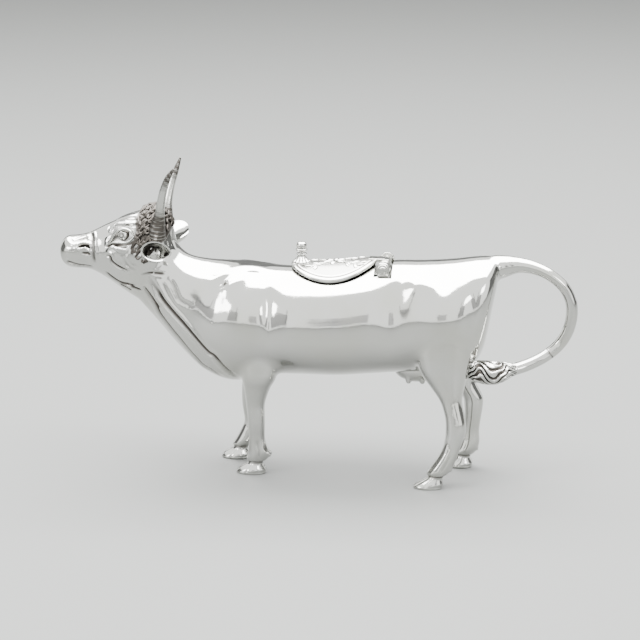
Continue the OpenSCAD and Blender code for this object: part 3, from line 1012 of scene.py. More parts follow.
# Each form: its middle, how far it reaches along x, y and z, and how far it rises.
BODY_FORMS = (
    Form((-19.5, 13, 46), (7, 8, 10), 1.15),
    Form((-19.5, 6.5, 59), (7, 4.5, 4), 0.75),
    Form((-27.5, 10.5, 53.5), (3.2, 5, 6), -0.7),
    Form((-12.2, 14, 53), (1.9, 5, 5), -0.5),
    Form((-15.5, 12, 57.5), (2.2, 4, 3), 0.35),
    Form((-10.5, 14, 49), (3.2, 7, 9), -0.75),
    Form((-32, 10, 48), (4, 6, 8), -0.35),
    Form((4, 15, 42), (13, 8, 9), 0.35),
    Form((23, 14, 51), (4.5, 7, 8), -1.1),
    Form((30.5, 9.5, 58), (3.6, 3.4, 3), 1.3),
    Form((24.5, 11, 56.5), (2.8, 4, 4), -0.6),
    Form((37.5, 9.5, 57.5), (3.2, 4, 4), -0.6),
    Form((45.8, 12, 51), (1.9, 5, 7), -0.5),
    Form((-12.2, 14, 48), (1.4, 5, 7), -0.45),
    Form((38, 13, 47), (7.5, 7, 10), 1.1),
    Form((49, 6, 59), (4, 4, 5), 0.4),
    Form((27.5, 13, 35), (4, 6, 4), -0.5),
    Form((-9, 12, 34), (4, 6, 4), -0.5),
    Form((46, 11, 38), (4, 5, 7), 0.4),
)

BODY_LINES = (
    Line((
        (-49.9, 6.8, 55.2), (-47.8, 6.9, 52.8), (-45.9, 7.1, 50.3), (-44.5, 6.6, 47.1),
        (-41, 6.9, 42.6), (-38.2, 7.2, 39.4), (-34.2, 7.1, 34.7), (-32.1, 6.6, 32.4),
        (-29.6, 6.7, 30.9), (-26.7, 5.5, 28.8),
    ), width=0.62, depth=0.7, lip=0.35, dark=0.8),
    Line((
        (-47.8, 7.8, 58.7), (-45.3, 8.1, 54.7), (-43.4, 8.3, 51.6), (-40.6, 9, 48.4),
        (-38, 9.6, 45.8), (-36.1, 10.1, 43.7), (-32, 10.6, 39.2), (-29.8, 10.7, 37.1),
        (-27.9, 10.8, 35.9), (-24.5, 9, 31.6), (-22.6, 7.6, 29.8),
    ), width=0.68, depth=0.75, lip=0.42, dark=0.9),
    Line((
        (-49.4, 6.9, 55.3), (-48, 7, 53.7), (-46.4, 7.2, 51.6), (-44.2, 7.6, 49),
    ), width=0.45, depth=0.4, lip=0.15, dark=0.8),
    Line((
        (-41.8, 8.1, 58.3), (-40.2, 8.7, 55.9), (-39.2, 9.3, 53.6), (-37.9, 9.8, 51.8),
        (-34, 10.8, 50.6),
    ), width=0.7, depth=0.3, lip=0.15, dark=0.3),
    Line((
        (-27.9, 10.2, 55.5), (-26.6, 9.3, 57), (-25.1, 8.3, 58.2), (-22.1, 7.2, 59.1),
        (-19.9, 5.9, 59.9), (-16.6, 5.3, 60), (-13.5, 6.5, 59.2),
    ), width=1.3, depth=0.32, lip=0.18, dark=0.0),
)


def face_size(voxel: float) -> float:
    return voxel * 1


def softened(wax: Wax, voxel: float, rounds: int) -> None:
    """Fills the corners where parts meet, and rubs the skin smooth.

    Args:
        wax: The skin.
        voxel: The size of its faces.
        rounds: How many times the corners are filled.
    """
    wax.smooth(6, 0.8)
    for _ in range(rounds):
        sink = ((wax.mean(wax.co) - wax.co) * wax.normals()).sum(1)
        for _ in range(4):
            sink = wax.mean(sink)
        wax.smooth(10, np.clip(sink / voxel * 40, 0, 1))


def follow_forms(bm: bmesh.types.BMesh) -> bpy.types.Mesh:
    """Gives a lining the forms of the skin that it lies under.

    Args:
        bm: The lining, which is freed.

    Returns:
        The lining.
    """
    mesh = as_mesh(bm)
    wax = Wax(mesh)
    wax.model(BODY_FORMS + HEAD_FORMS)
    wax.write()
    return mesh


def ahead_of_neck(reach: float = 60.0) -> bmesh.types.BMesh:
    """Draws a block whose face is the neck joint and which holds the head.

    Args:
        reach: How far it runs from the joint.

    Returns:
        The block.
    """
    down = (NECK_BOTTOM - NECK_TOP).normalized()
    out = Vector((down.z, 0, -down.x))
    turn = Matrix((out, Vector((0, 1, 0)), out.cross(Vector((0, 1, 0))))).transposed().to_4x4()
    turn.translation = NECK_TOP
    return block((0, -reach, -reach), (reach, reach, reach), turn)


# ---- The trunk, the legs and the udder ----


def back_height(x: Array, y: Array) -> Array:
    """Gives the height of the back, as the lid and its gap follow it.

    Args:
        x: Places along the cow.
        y: Places across it.

    Returns:
        The heights.
    """
    rows = along(TRUNK, 240, 3, 13)[::-1]
    top = np.interp(x, rows[:, 0], rows[:, 1])
    bottom = np.interp(x, rows[:, 0], rows[:, 3])
    width = np.interp(x, rows[:, 0], rows[:, 4])
    half = (top - bottom) / 2
    return top - half + half * np.sqrt(np.clip(1 - (y / width) ** 2, 0, 1))


# Tendons of a leg: angle from its outer side, lowest and highest z, depth.
TENDONS = ((-0.9, 5.4, 11.5, 0.16), (0.15, 5.0, 10.5, 0.22), (1.0, 6.5, 14.0, 0.14))


@dataclass
class Leg:
    """A leg above the hoof, as level ovals: [x, y, z, half length, half width]."""

    name: str
    ovals: Rows
    stand: tuple[float, float, float, float]
    side: int

    def core(self) -> bmesh.types.BMesh:
        """Draws the leg down to the coronet, with its dewclaws.

        Returns:
            The leg.
        """
        rings = []
        a = np.linspace(0, 2 * math.pi, 28, endpoint=False)
        for x, y, z, length, width in along(self.ovals, 44):
            rings.append(
                np.column_stack([x + length * np.cos(a), y + width * np.sin(a), np.full_like(a, z)])
            )
        return joined([loft(rings), *self.dewclaws()])

    def dewclaws(self) -> list[bmesh.types.BMesh]:
        """Draws the two small claws behind the fetlock.

        Returns:
            The claws.
        """
        x, y, _, length, _ = spline(self.ovals, len(self.ovals) - 3)
        claws = []
        for shift in (-1.1, 1.1):
            path = np.array([
                [x + length - 1.2, y + shift, 6.9], [x + length + 0.1, y + shift, 6.2],
                [x + length + 0.5, y + shift, 5.2],
            ])
            claws.append(loft(tube_rings(along(path, 8), np.linspace(0.8, 0.35, 8), 10)))
        return claws

    def hoof(self) -> bpy.types.Mesh:
        """Models the cloven hoof under the coronet.

        Returns:
            The hoof.
        """
        x, y, z = self.ovals[-1][:3]
        length, width = self.ovals[-1][3] * 0.9, self.ovals[-1][4] * 0.9
        sx, sy, sl, sw = self.stand
        rows = [
            [x, y, z + 0.5, length * 0.8, width * 0.8], [x, y, z - 0.05, length, width],
            [x * 0.75 + sx * 0.25, y * 0.75 + sy * 0.25, z - 0.8, length * 1.08, width * 1.05],
            [x * 0.3 + sx * 0.7, y * 0.3 + sy * 0.7, z * 0.4, sl * 0.9, sw * 0.93],
            [sx, sy, 0.7, sl * 0.99, sw * 0.99], [sx, sy, 0.25, sl, sw],
            [sx, sy, 0.0, sl * 0.97, sw * 0.96],
        ]
        a = np.linspace(0, 2 * math.pi, 72, endpoint=False)
        rings = []
        for share, (cx, cy, h, rl, rw) in zip(np.linspace(0, 1, 40), along(rows, 40)):
            cleft = 0.30 * math.sin(share * math.pi / 2) * np.exp(-(((a - math.pi) / 0.13) ** 2))
            heel = 0.08 * np.exp(-((np.minimum(a, 2 * math.pi - a) / 0.3) ** 2))
            seam = 0.035 * sum(np.exp(-(((a - t) / 0.07) ** 2)) for t in (1.9, 2 * math.pi - 1.9))
            k = 1 - cleft - heel - seam
            rings.append(
                np.column_stack([
                    cx + rl * k * np.cos(a), cy + rw * np.sin(a) * (1 - heel - seam),
                    np.full_like(a, max(h, 0.0)),
                ])
            )
        mesh = as_mesh(loft(rings))
        wax = Wax(mesh)
        wax.hollow_tarnish_and_shade(7.0, 4)
        wax.dark = np.maximum(wax.dark, np.clip((wax.co[:, 2] - z + 0.5) * 1.2, 0, 0.7))
        wax.write()
        return mesh

    def lines(self) -> list[Line]:
        """Gives the tendons above the hoof.

        Returns:
            The lines.
        """
        found = []
        for turn, low, high, depth in TENDONS:
            path = []
            for z in np.linspace(high, low, 4):
                x, y, _, length, width = self.at_height(z)
                across = self.side * y + width * math.cos(turn)
                path.append((x + length * math.sin(turn), across, z))
            found.append(Line(tuple(path), 0.42, depth, 0.06, 0.25, self.side))
        return found

    def at_height(self, z: float) -> Array:
        """Gives the oval at a height."""
        rows = along(self.ovals, 200)
        return rows[np.abs(rows[:, 2] - z).argmin()]


# Each leg: its ovals from the top down, then the hoof's sole: [x, y, half length, half width].
LEGS = [
    Leg("foreleg_left", [
        [-15, -7.5, 41, 6.4, 4.4], [-15.6, -7.8, 30.5, 5.3, 4.4], [-16.4, -7.4, 26, 3.8, 3.4],
        [-16.9, -7, 21.5, 2.8, 2.6], [-16.8, -6.8, 18, 2.6, 2.5], [-16.7, -6.7, 14.5, 2.5, 2.4],
        [-16.7, -6.5, 11.5, 2.35, 2.3], [-16.5, -6.3, 9, 2.6, 2.45], [-16.2, -6.1, 6.8, 3.1, 2.75],
        [-16.4, -5.9, 5.2, 3.3, 2.85], [-16.9, -5.8, 4.2, 3.05, 2.7], [-17.0, -5.8, 3.7, 2.5, 2.3],
    ], (-18.4, -5.6, 4.5, 3.1), -1),
    Leg("foreleg_right", [
        [-15, 7.5, 41, 6.4, 4.4], [-17, 8, 30.5, 5.4, 4.4], [-19.2, 8.2, 26, 3.8, 3.4],
        [-20.6, 8.4, 21, 2.75, 2.6], [-20.7, 8.6, 17, 2.6, 2.5], [-20.4, 8.7, 14, 2.5, 2.4],
        [-20.3, 8.8, 11.5, 2.35, 2.3], [-21, 8.9, 9, 2.6, 2.5], [-21.8, 9, 6.8, 3, 2.7],
        [-22.6, 9, 5.2, 3.1, 2.75], [-23.4, 9.1, 4.2, 3, 2.6], [-23.6, 9.1, 3.7, 2.5, 2.3],
    ], (-25.2, 9.2, 4.4, 3.1), 1),
    Leg("hindleg_left", [
        [37, -7.8, 48, 7, 5.2], [37, -8.7, 42.5, 8.6, 5.3], [37.2, -9.2, 37, 8, 5.2],
        [37.5, -9.8, 33.5, 7, 4.7], [38.7, -10.6, 29.6, 5.1, 4],
        [40, -11.8, 25.4, 3.2, 3], [41.2, -12.6, 21, 2.9, 2.75], [41.6, -13, 18, 3, 2.7],
        [41.3, -13.2, 15, 2.8, 2.6], [40.3, -13.6, 11.6, 2.55, 2.4], [39.2, -13.8, 9, 2.8, 2.6],
        [37.9, -13.9, 6.6, 3.2, 2.75], [36.9, -14, 5.1, 3.3, 2.8], [36.3, -14, 4.2, 3, 2.6],
        [36.2, -14, 3.7, 2.5, 2.2],
    ], (33.9, -14, 4.3, 2.9), -1),
    Leg("hindleg_right", [
        [37, 7.6, 48, 7, 5.2], [37.2, 8.2, 42.5, 8.6, 5.3], [37.8, 8.3, 37, 8, 5.1],
        [38.6, 8.4, 33.2, 6.8, 4.6], [40.4, 8.4, 29, 4.9, 3.8],
        [42.6, 8.4, 25.4, 3.3, 3], [45, 8.4, 21.4, 3, 2.7], [45.3, 8.3, 18.6, 2.8, 2.6],
        [45.1, 8.3, 15, 2.5, 2.45], [44.7, 8.2, 11, 2.4, 2.3], [44.5, 8.1, 8, 2.8, 2.5],
        [43.9, 8, 6, 3, 2.7], [43.2, 8, 4.9, 3.1, 2.7], [42.8, 8, 4.1, 2.9, 2.5],
        [42.7, 8, 3.7, 2.4, 2.2],
    ], (41.2, 8, 4.2, 3), 1),
]


@dataclass
class Carcass:
    """The hollow trunk with its neck, the legs and the udder."""

    voxel: float = 0.38
    segments: int = 72
    knee_cut: float = 25.5

    def trunk(self) -> bmesh.types.BMesh:
        """Draws the closed trunk, with the start of the head for its neck to meet."""
        rows = [*along(TRUNK, 120), *along(HEAD, 12, 0.3, 4.0)]
        return loft([leaning_ring(s, self.segments) for s in rows])

    def tail_root(self) -> bmesh.types.BMesh:
        """Draws the start of the tail."""
        path = along(TAIL, 20, 0, 2.6)
        return loft(tube_rings(path[:, :3], path[:, 3], 28))

    def wax(self) -> bpy.types.Mesh:
        """Models the whole outside in one piece.

        Returns:
            The outside, closed.
        """
        cores = [self.trunk(), self.tail_root(), *(leg.core() for leg in LEGS)]
        size = face_size(self.voxel)
        mesh = modified(joined(cores), "REMESH", mode="VOXEL", voxel_size=size)
        wax = Wax(mesh)
        softened(wax, size, 6)
        wax.model(BODY_FORMS + HEAD_FORMS)
        wax.chase(BODY_LINES + HEAD_LINES)
        wax.chase([line for leg in LEGS for line in leg.lines()])
        wax.smooth(1, 0.5)
        # Painted shade like ambient occlusion in the broad hollows, with tarnish in the fine ones.
        wax.hollow_tarnish_and_shade(1.2)
        wax.write()
        return mesh

    def lining(self) -> bpy.types.Mesh:
        """Draws the space inside the trunk, which runs on through the neck.

        Returns:
            The space.
        """
        rings = []
        for s in [*along(TRUNK, 90, 1.7), *along(HEAD, 6, 0.2, 1.2)]:
            ring = leaning_ring(s, 56, LINING_INSET)
            seat = (np.abs(ring[:, 0] - HINGE_X) < SEAT_HALF + WALL) & (ring[:, 2] > 55)
            ring[seat, 2] = np.minimum(ring[seat, 2], SEAT_Z - WALL)
            rings.append(ring)
        return follow_forms(loft(rings))

    def below_knees(self) -> bmesh.types.BMesh:
        """Draws a block that holds the legs below the cut."""
        return block((-60, -30, -5), (60, 30, self.knee_cut))

    def build(self, shop: Workshop) -> None:
        """Makes the trunk, legs, hooves and udder.

        Args:
            shop: Where the pieces are placed.
        """
        wax = self.wax()
        shanks = cut(wax.copy(), self.below_knees(), "INTERSECT")
        for leg in LEGS:
            x, y = leg.ovals[3][0], leg.ovals[3][1]
            box = block(
                (x - 14 if x > 0 else -60, min(0, y * 4), -5),
                (x + 20, max(0, y * 4), self.knee_cut + 5),
            )
            shank = cut(shanks.copy(), box, "INTERSECT")
            shop.place(shank, leg.name + "_shank", RAISED, "cast_silver", [leg.name])
            shop.place(leg.hoof(), leg.name + "_hoof", CAST, "cast_silver", [leg.name])
        bpy.data.meshes.remove(shanks)
        self.build_trunk(shop, wax)
        self.build_udder(shop)

    def build_trunk(self, shop: Workshop, wax: bpy.types.Mesh) -> None:
        """Cuts the trunk free, hollows it, opens it and places it.

        Args:
            shop: Where the piece is placed.
            wax: The whole outside, which is used up.
        """
        mesh = cut(wax, self.below_knees())
        mesh = cut(mesh, ahead_of_neck())
        seat = block((HINGE_X - SEAT_HALF, -12, SEAT_Z), (HINGE_X + SEAT_HALF, 12, 70))
        mesh = cut(mesh, seat)
        mesh = cut(mesh, self.lining())
        a = np.linspace(0, 2 * math.pi, 96, endpoint=False)
        oval = np.column_stack([
            LID_MIDDLE + OPEN_LENGTH / 2 * np.cos(a),
            OPEN_WIDTH / 2 * np.sin(a),
            np.full_like(a, 50),
        ])
        mesh = cut(mesh, loft([oval, oval + [0, 0, 20]]))
        shop.place(mesh, "trunk", RAISED, "raised_silver", ["body_left", "body_right"])

    def build_udder(self, shop: Workshop) -> None:
        """Makes the udder with its teats.

        Args:
            shop: Where the piece is placed.
        """
        rows = [
            [23.4, 0, 32.4, 2.2], [25.6, 0, 31.9, 3.5], [29, 0, 31.7, 4.15],
            [32, 0, 32.2, 3.9], [35.4, 0, 33.2, 2.6],
        ]
        path = along(rows, 26)
        parts = [loft(tube_rings(path[:, :3], path[:, 3], 32))]
        for x in (27, 31):
            for y in (-2.2, 2.2):
                teat = [[x, y, 29.6, 1.2], [x, y, 28.7, 0.95], [x, y, 27.9, 0.8], [x, y, 27.4, 0.5]]
                line = along(teat, 12)
                parts.append(loft(tube_rings(line[:, :3], line[:, 3], 16, up=(1, 0, 0))))
        mesh = modified(joined(parts), "REMESH", mode="VOXEL", voxel_size=0.22)
        wax = Wax(mesh)
        wax.smooth(8, 0.8)
        wax.write()
        shop.place(mesh, "udder_bag", CAST, "cast_silver", ["udder"])


# ---- The head ----

HEAD_FORMS = (
    Form((-55, 6.8, 70), (3.8, 3, 2.9), -0.75),
    Form((-57, 7.2, 65.2), (5, 4, 3), 0.45),
    Form((-51, 8, 62), (5, 4, 5), 0.5),
    Form((-62.5, 5.6, 66.5), (4, 4, 3.5), -0.4),
    Form((-60, 4.5, 60.5), (4, 3, 3), -0.3),
    Form((-69.5, 4.2, 64.8), (3, 2.6, 3), 0.55),
    Form((-70.5, 2, 60), (3, 3, 1.2), 0.3),
    Form((-55, 3.2, 73.6), (5, 2.5, 3), 0.35),
    Form((-55, 0, 75), (7, 2.2, 3), -0.35),
    Form((-49, 6.5, 72), (3, 3, 3), -0.5),
)

HEAD_LINES = (
    Line((
        (-60.4, 6.2, 63.9), (-58.9, 6.7, 63.7), (-58.4, 6.7, 62.4), (-56.7, 6.9, 61.1),
        (-54.5, 7.1, 60.2), (-52.3, 7.6, 60),
    ), width=0.5, depth=0.44, lip=0.26, dark=0.85),
    Line((
        (-54.6, 7.7, 64.6), (-54.1, 7.7, 62.7), (-52.8, 7.7, 61.1), (-50.3, 7.9, 60.4),
    ), width=0.5, depth=0.35, lip=0.2, dark=0.68),
    Line((
        (-61.2, 4.4, 58.7), (-59, 4.4, 57.1), (-56.8, 4.6, 55.8), (-54.4, 5.4, 55.4),
        (-51.5, 6.5, 55.4),
    ), width=0.5, depth=0.44, lip=0.2, dark=1),
    Line((
        (-57, 3.8, 55.1), (-54.6, 4.6, 54.2), (-53.3, 4.6, 53.3),
    ), width=0.42, depth=0.31, lip=0.13, dark=1),
    Line((
        (-54.4, 5.7, 55.9), (-52.7, 5.8, 54.8), (-49.9, 6.4, 53.9),
    ), width=0.42, depth=0.31, lip=0.13, dark=1),
    Line((
        (-66.1, 0.2, 69.3), (-65, 3, 68.6), (-64.5, 4.7, 65.6), (-64.3, 4.8, 62.9),
        (-63.9, 4.3, 60.9),
    ), width=0.55, depth=0.35, lip=0.18, dark=0.59),
    Line((
        (-71.9, 1.9, 67.7), (-70.3, 3.4, 66.7), (-68.7, 3.1, 67.3), (-67.1, 2.8, 67.9),
        (-65.5, 2.6, 68.7),
    ), width=0.42, depth=0.25, lip=0.16, dark=0.59),
    Line((
        (-68.7, 4.4, 64.6), (-68.5, 4.3, 65.6), (-67.4, 4.2, 66.2), (-66, 4.2, 66),
        (-65.6, 4.5, 65.2),
    ), width=0.42, depth=0.94, lip=0.36, dark=1),
    Line((
        (-67.9, 4.5, 64.1), (-66.8, 4.5, 64), (-65.8, 4.6, 63.9), (-65.2, 4.7, 63.3),
    ), width=0.42, depth=0.38, lip=0.16, dark=1),
    Line((
        (-72.6, 3.2, 61.3), (-71.5, 3.8, 61.1), (-69.9, 3.6, 60.7), (-67.8, 3.2, 60.1),
        (-64.7, 3.3, 59.6),
    ), width=0.42, depth=0.75, lip=0.29, dark=1),
    Line((
        (-59.5, 4.6, 70.2), (-58.9, 3.8, 71.6), (-57.5, 3.6, 72.6), (-55.4, 4.2, 72.9),
        (-52.8, 5.2, 73.3), (-50.5, 5.7, 73.8),
    ), width=0.5, depth=-0.38, lip=-0.26, dark=0),
    Line((
        (-57.9, 2.8, 72.7), (-56.2, 2.9, 73.5), (-53.9, 3.5, 74.2), (-51.6, 3.9, 74.9),
    ), width=0.5, depth=0.28, lip=0.13, dark=0.51),
    Line((
        (-57.8, 6.7, 67.3), (-56.3, 7.2, 66.7), (-54.6, 7.7, 66.5), (-53.2, 7.8, 66.9),
    ), width=0.42, depth=0.38, lip=0.2, dark=1),
    Line((
        (-59.9, 6, 67), (-59.5, 5.8, 68.6), (-58.3, 5.8, 70.5), (-56.8, 6, 72),
        (-54.7, 6.4, 72.7), (-52.6, 6.8, 72.1), (-51.1, 7.2, 70.5),
    ), width=0.42, depth=0.3, lip=0.15, dark=0.95),
    Line((
        (-59.9, 6.2, 66.9), (-58, 6.7, 67.2), (-56.2, 7.2, 67.2), (-54.1, 7.5, 67.3),
        (-52.3, 7.7, 68.2), (-51.1, 7.5, 69.8),
    ), width=0.4, depth=0.3, lip=0.15, dark=0.85),
    Line((
        (-60.2, 6.2, 66.2), (-59.4, 6.3, 66.8), (-58.9, 6.3, 67.2), (-58.4, 6.1, 68.3),
    ), width=0.42, depth=0.5, lip=0.2, dark=1),
    Line((
        (-50.1, 7.7, 58.8), (-47.8, 7.9, 59.5), (-45.1, 7.8, 59.4), (-42.6, 7.9, 59.2),
    ), width=0.42, depth=0.19, lip=0.07, dark=1),
    Line((
        (-50.9, 3.3, 75.6), (-49.6, 5.9, 73.7), (-49.3, 7, 71.5), (-48.6, 7.8, 69.5),
        (-48, 7.7, 67.8), (-45.9, 8.5, 66.9),
    ), width=0.5, depth=0.38, lip=0.26, dark=1),
)

# Darkened ovals of the head: the crown, then painted shadow in the eye socket and behind the eye.
SHADES = (
    Shade((-46.6, 73.5), (5.4, 7.0), edge=1.05, gain=2.5, most=0.85),
    Shade((-55.2, 69.8), (4.4, 2.9), edge=1.1, gain=1.0, most=0.42, off=4.5),
    Shade((-51.4, 69.4), (1.9, 3.8), edge=1.0, gain=1.0, most=0.34, off=4.5),
)

# Middle lines of the horns: [x, y, z, radius].
HORNS = {
    "horn_left": [
        [-45.6, -5.6, 69.4, 2.7], [-45.3, -6.0, 71.4, 2.5], [-44.7, -6.5, 74.3, 1.9],
        [-44.1, -7.3, 77.4, 1.35], [-43.4, -8.2, 80.9, 1.22], [-42.5, -9.1, 84.3, 1.05],
        [-41.1, -9.9, 87.7, 0.82], [-39.5, -10.4, 90.2, 0.32],
    ],
    "horn_right": [
        [-45.4, 5.6, 67.6, 2.7], [-45, 6, 70, 2.4], [-44.7, 6.5, 73.4, 1.8],
        [-44.6, 7.4, 76.6, 1.35], [-44.2, 8.4, 79.8, 1.2], [-43.5, 9.3, 83, 1.05],
        [-42.4, 9.9, 86.4, 0.82], [-41.2, 10.4, 89.8, 0.32],
    ],
}


@dataclass
class Head:
    """The hollow head with its mouth, eyes, poll, horns and ears."""

    voxel: float = 0.27
    locks: int = 190
    eye: tuple[float, float, float] = (-55.0, 5.35, 69.85)
    eye_size: float = 1.95
    seed: int = 7

    def core(self) -> bpy.types.Mesh:
        """Models the closed head.

        Returns:
            The head, with the end of the neck.
        """
        rows = [*along(TRUNK, 26, 13.4), *along(HEAD, 110, 0.1)]
        shape = loft([leaning_ring(s, 72) for s in rows])
        size = face_size(self.voxel)
        mesh = modified(shape, "REMESH", mode="VOXEL", voxel_size=size)
        wax = Wax(mesh)
        softened(wax, size, 2)
        wax.model(BODY_FORMS + HEAD_FORMS)
        wax.chase(BODY_LINES + HEAD_LINES)
        wax.smooth(1, 0.4)
        # Painted shade like ambient occlusion in the head's hollows, with tarnish in the fine ones.
        wax.hollow_tarnish_and_shade(3.5)
        for shade in SHADES:
            shade.lay(wax)
        wax.write()
        return mesh

    def lining(self) -> bpy.types.Mesh:
        """Draws the space inside the head, out through the lips.

        Returns:
            The space.
        """
        rows = [*along(TRUNK, 6, 15.2), *along(HEAD, 50, 0.1, 10.6)]
        rings = [leaning_ring(s, 48, LINING_INSET) for s in rows]
        a = np.linspace(0, 2 * math.pi, 48, endpoint=False)
        for x, z, high, wide in (
            (-73.2, 61.35, 0.85, 2.5), (-74.6, 61.2, 0.8, 2.6), (-76.5, 61.0, 0.8, 2.7),
        ):
            rings.append(np.column_stack([
                np.full_like(a, x), wide * np.sin(a), z + high * np.cos(a)
            ]))
        return follow_forms(loft(rings))

    def surface(self, u: float, turn: float) -> tuple[Array, Array]:
        """Gives a point on the plain head and the direction outwards there.

        Args:
            u: The row of the head's table.
            turn: The angle from the top, in radians.

        Returns:
            The point and the direction.
        """
        def at(row: float, angle: float) -> Array:
            """Gives the point.

            Args:
                row: The row of the head's table.
                angle: The angle from the top, in radians.

            Returns:
                The point.
            """
            s = spline(HEAD, row)
            mid, half = (s[0:2] + s[2:4]) / 2, (s[0:2] - s[2:4]) / 2
            flat = mid + half * math.cos(angle)
            return np.array([flat[0], s[4] * math.sin(angle), flat[1]])

        here = at(u, turn)
        out = np.cross(at(u + 0.05, turn) - here, at(u, turn + 0.03) - here)
        out /= np.linalg.norm(out)
        centre = at(u, math.pi / 2) * [1, 0, 1]
        return here, out if out.dot(here - centre) > 0 else -out

    def poll(self) -> bmesh.types.BMesh:
        """Draws the curly hair between the horns, lock by lock.

        Returns:
            The hair.
        """
        rng = np.random.default_rng(self.seed)
        parts = []
        for i in range(self.locks):
            turn = math.radians(-84 + 168 * (i + 0.5) / self.locks) + rng.normal(0, 0.05)
            reach = 2.15 - 0.85 * abs(turn) / 1.45
            u = 0.62 + reach * ((i * 0.618034) % 1)
            length = rng.uniform(0.22, 0.42)
            swing = rng.choice([-1, 1]) * rng.uniform(0.06, 0.14)
            path = []
            for t in np.linspace(0, 1, 12):
                row = u + length * t
                angle = turn + swing * math.sin(t * 4.4) + turn * 0.12 * t
                point, out = self.surface(row, angle)
                path.append(point + out * (0.10 + 0.30 * math.sin(math.pi * min(t * 1.1, 1))))
            swell = np.sin(math.pi * (0.12 + 0.80 * np.linspace(0, 1, 12)))
            radii = np.outer(swell, (0.44, 0.34)) * rng.uniform(0.8, 1.15)
            parts.append(loft(tube_rings(np.array(path), radii, 10)))
        return joined(parts)

    def eyes(self, side: int) -> bpy.types.Mesh:
        """Models an eyeball with a raised ring round the pupil.

        Args:
            side: -1 on the left and 1 on the right.

        Returns:
            The eyeball.
        """
        outline = []
        for t in np.linspace(0.6, 1.0, 46):
            a = (1 - t) * math.pi
            r = self.eye_size
            iris, pupil = math.exp(-(((a - 0.52) / 0.09) ** 2)), math.exp(-((a / 0.22) ** 2))
            lift = 0.10 * iris - 0.14 * pupil
            outline.append(((r + lift) * math.sin(a), (r + lift) * math.cos(a)))
        outline = [(0.0, outline[0][1]), *outline]
        place = np.array(self.eye) * [1, side, 1]
        axis = Vector((-0.28, side * 0.95, 0.12)).normalized()
        mesh = as_mesh(turned_profile(outline, 48, place, axis))
        wax = Wax(mesh)
        off = np.linalg.norm(np.cross(wax.co - place, np.array(axis)), axis=1)
        ring, rim = np.exp(-(((off - 0.66) / 0.13) ** 2)), np.clip((off - 1.25) * 3, 0, 1)
        wax.dark = 0.9 * ring + 0.85 * rim
        wax.write()
        return mesh

    def lids(self, side: int) -> bmesh.types.BMesh:
        """Draws the rims of the eye.

        Args:
            side: -1 on the left and 1 on the right.

        Returns:
            The two rims.
        """
        upper = [
            (-59.3, 6.15, 67.2), (-58.9, 6.1, 68.3), (-57.9, 6.25, 69.9), (-56.6, 6.55, 71.2),
            (-54.8, 6.95, 71.9), (-53, 7.2, 71.4), (-51.8, 7.4, 70.1),
        ]
        lower = [
            (-59.3, 6.15, 67.1), (-58, 6.55, 67.8), (-56.2, 7.05, 67.9), (-54.2, 7.35, 68),
            (-52.7, 7.5, 68.8), (-51.7, 7.4, 69.9),
        ]
        parts = []
        for rim, size in ((upper, 0.46), (lower, 0.36)):
            path = along(rim, 40) * [1, side, 1]
            k = size * (0.35 + 0.65 * np.sin(np.linspace(0, math.pi, 40)) ** 0.6)
            parts.append(loft(tube_rings(path, k, 12)))
        return joined(parts)

    def horn(self, name: str) -> bpy.types.Mesh:
        """Models a horn with rings at its root.

        Args:
            name: Which horn.

        Returns:
            The horn.
        """
        path = along(HORNS[name], 150)
        mesh = as_mesh(loft(tube_rings(path[:, :3], path[:, 3], 48, up=(1, 0, 0))))
        wax = Wax(mesh)
        share, angle = wax.around(path[:, :3], (1, 0, 0))
        waves = np.maximum(np.sin(share * 95 + np.sin(angle * 2) * 0.4), 0)
        rings = waves * np.clip(0.42 - share, 0, 1) * 0.5
        flutes = (0.5 + 0.5 * np.sin(angle * 5 + share * 3)) * np.clip(share - 0.78, 0, 1) * 0.8
        wax.co += wax.normals() * (-(rings + flutes) * 0.3)[:, None]
        mottle = 0.5 + 0.5 * np.sin(angle * 3 + share * 60) * np.sin(share * 170 + angle * 2)
        root = np.clip((0.52 - share) * 6, 0, 1) * (0.34 + 0.46 * mottle)
        tip = np.clip((share - 0.66) * 7, 0, 1) * (0.28 + 0.46 * mottle)
        wax.dark = np.clip(rings * 4.0 + root + tip + flutes * 2, 0, 0.85)
        wax.write()
        return mesh

    def ear(self, side: int) -> bpy.types.Mesh:
        """Models a cupped ear, whose upper edge runs out to a point.

        Args:
            side: -1 on the left and 1 on the right.

        Returns:
            The ear.
        """
        outer = [
            [-46.2, 6.0, 65.2, 1.9, 1.9], [-46, 8.3, 65.2, 2.5, 2.3], [-45.4, 10.4, 65.8, 3.3, 2.8],
            [-44.7, 12.2, 66.6, 4.2, 3.05], [-44.2, 13.4, 67.1, 4.45, 3.0],
        ]
        a = np.linspace(0, 2 * math.pi, 72, endpoint=False)
        tip = np.exp(-(((a - 0.85) / 1.0) ** 2))
        rings = []
        rows = [(r, 0.0) for r in along(outer, 34)]
        rows += [(r, 0.55) for r in along(outer, 26)[::-1][:21]]
        for i, (row, inset) in enumerate(rows):
            x, y, z, length, height = row
            share = min(max((y - 8.3) / 5.1, 0), 1)
            reach = y + 2.7 * tip * share**2 - (0.15 if inset else 0)
            pinch = 1 - 0.12 * tip * share**2
            fold = inset * min(max((i - 33) / 3, 0.35), 1)
            rings.append(np.column_stack([
                x + (length - fold) * pinch * np.cos(a) + 0.5 * tip * share**2,
                side * reach,
                z + (height - fold) * pinch * np.sin(a) + 0.5 * tip * share**2,
            ]))
        mesh = as_mesh(loft(rings))
        wax = Wax(mesh)
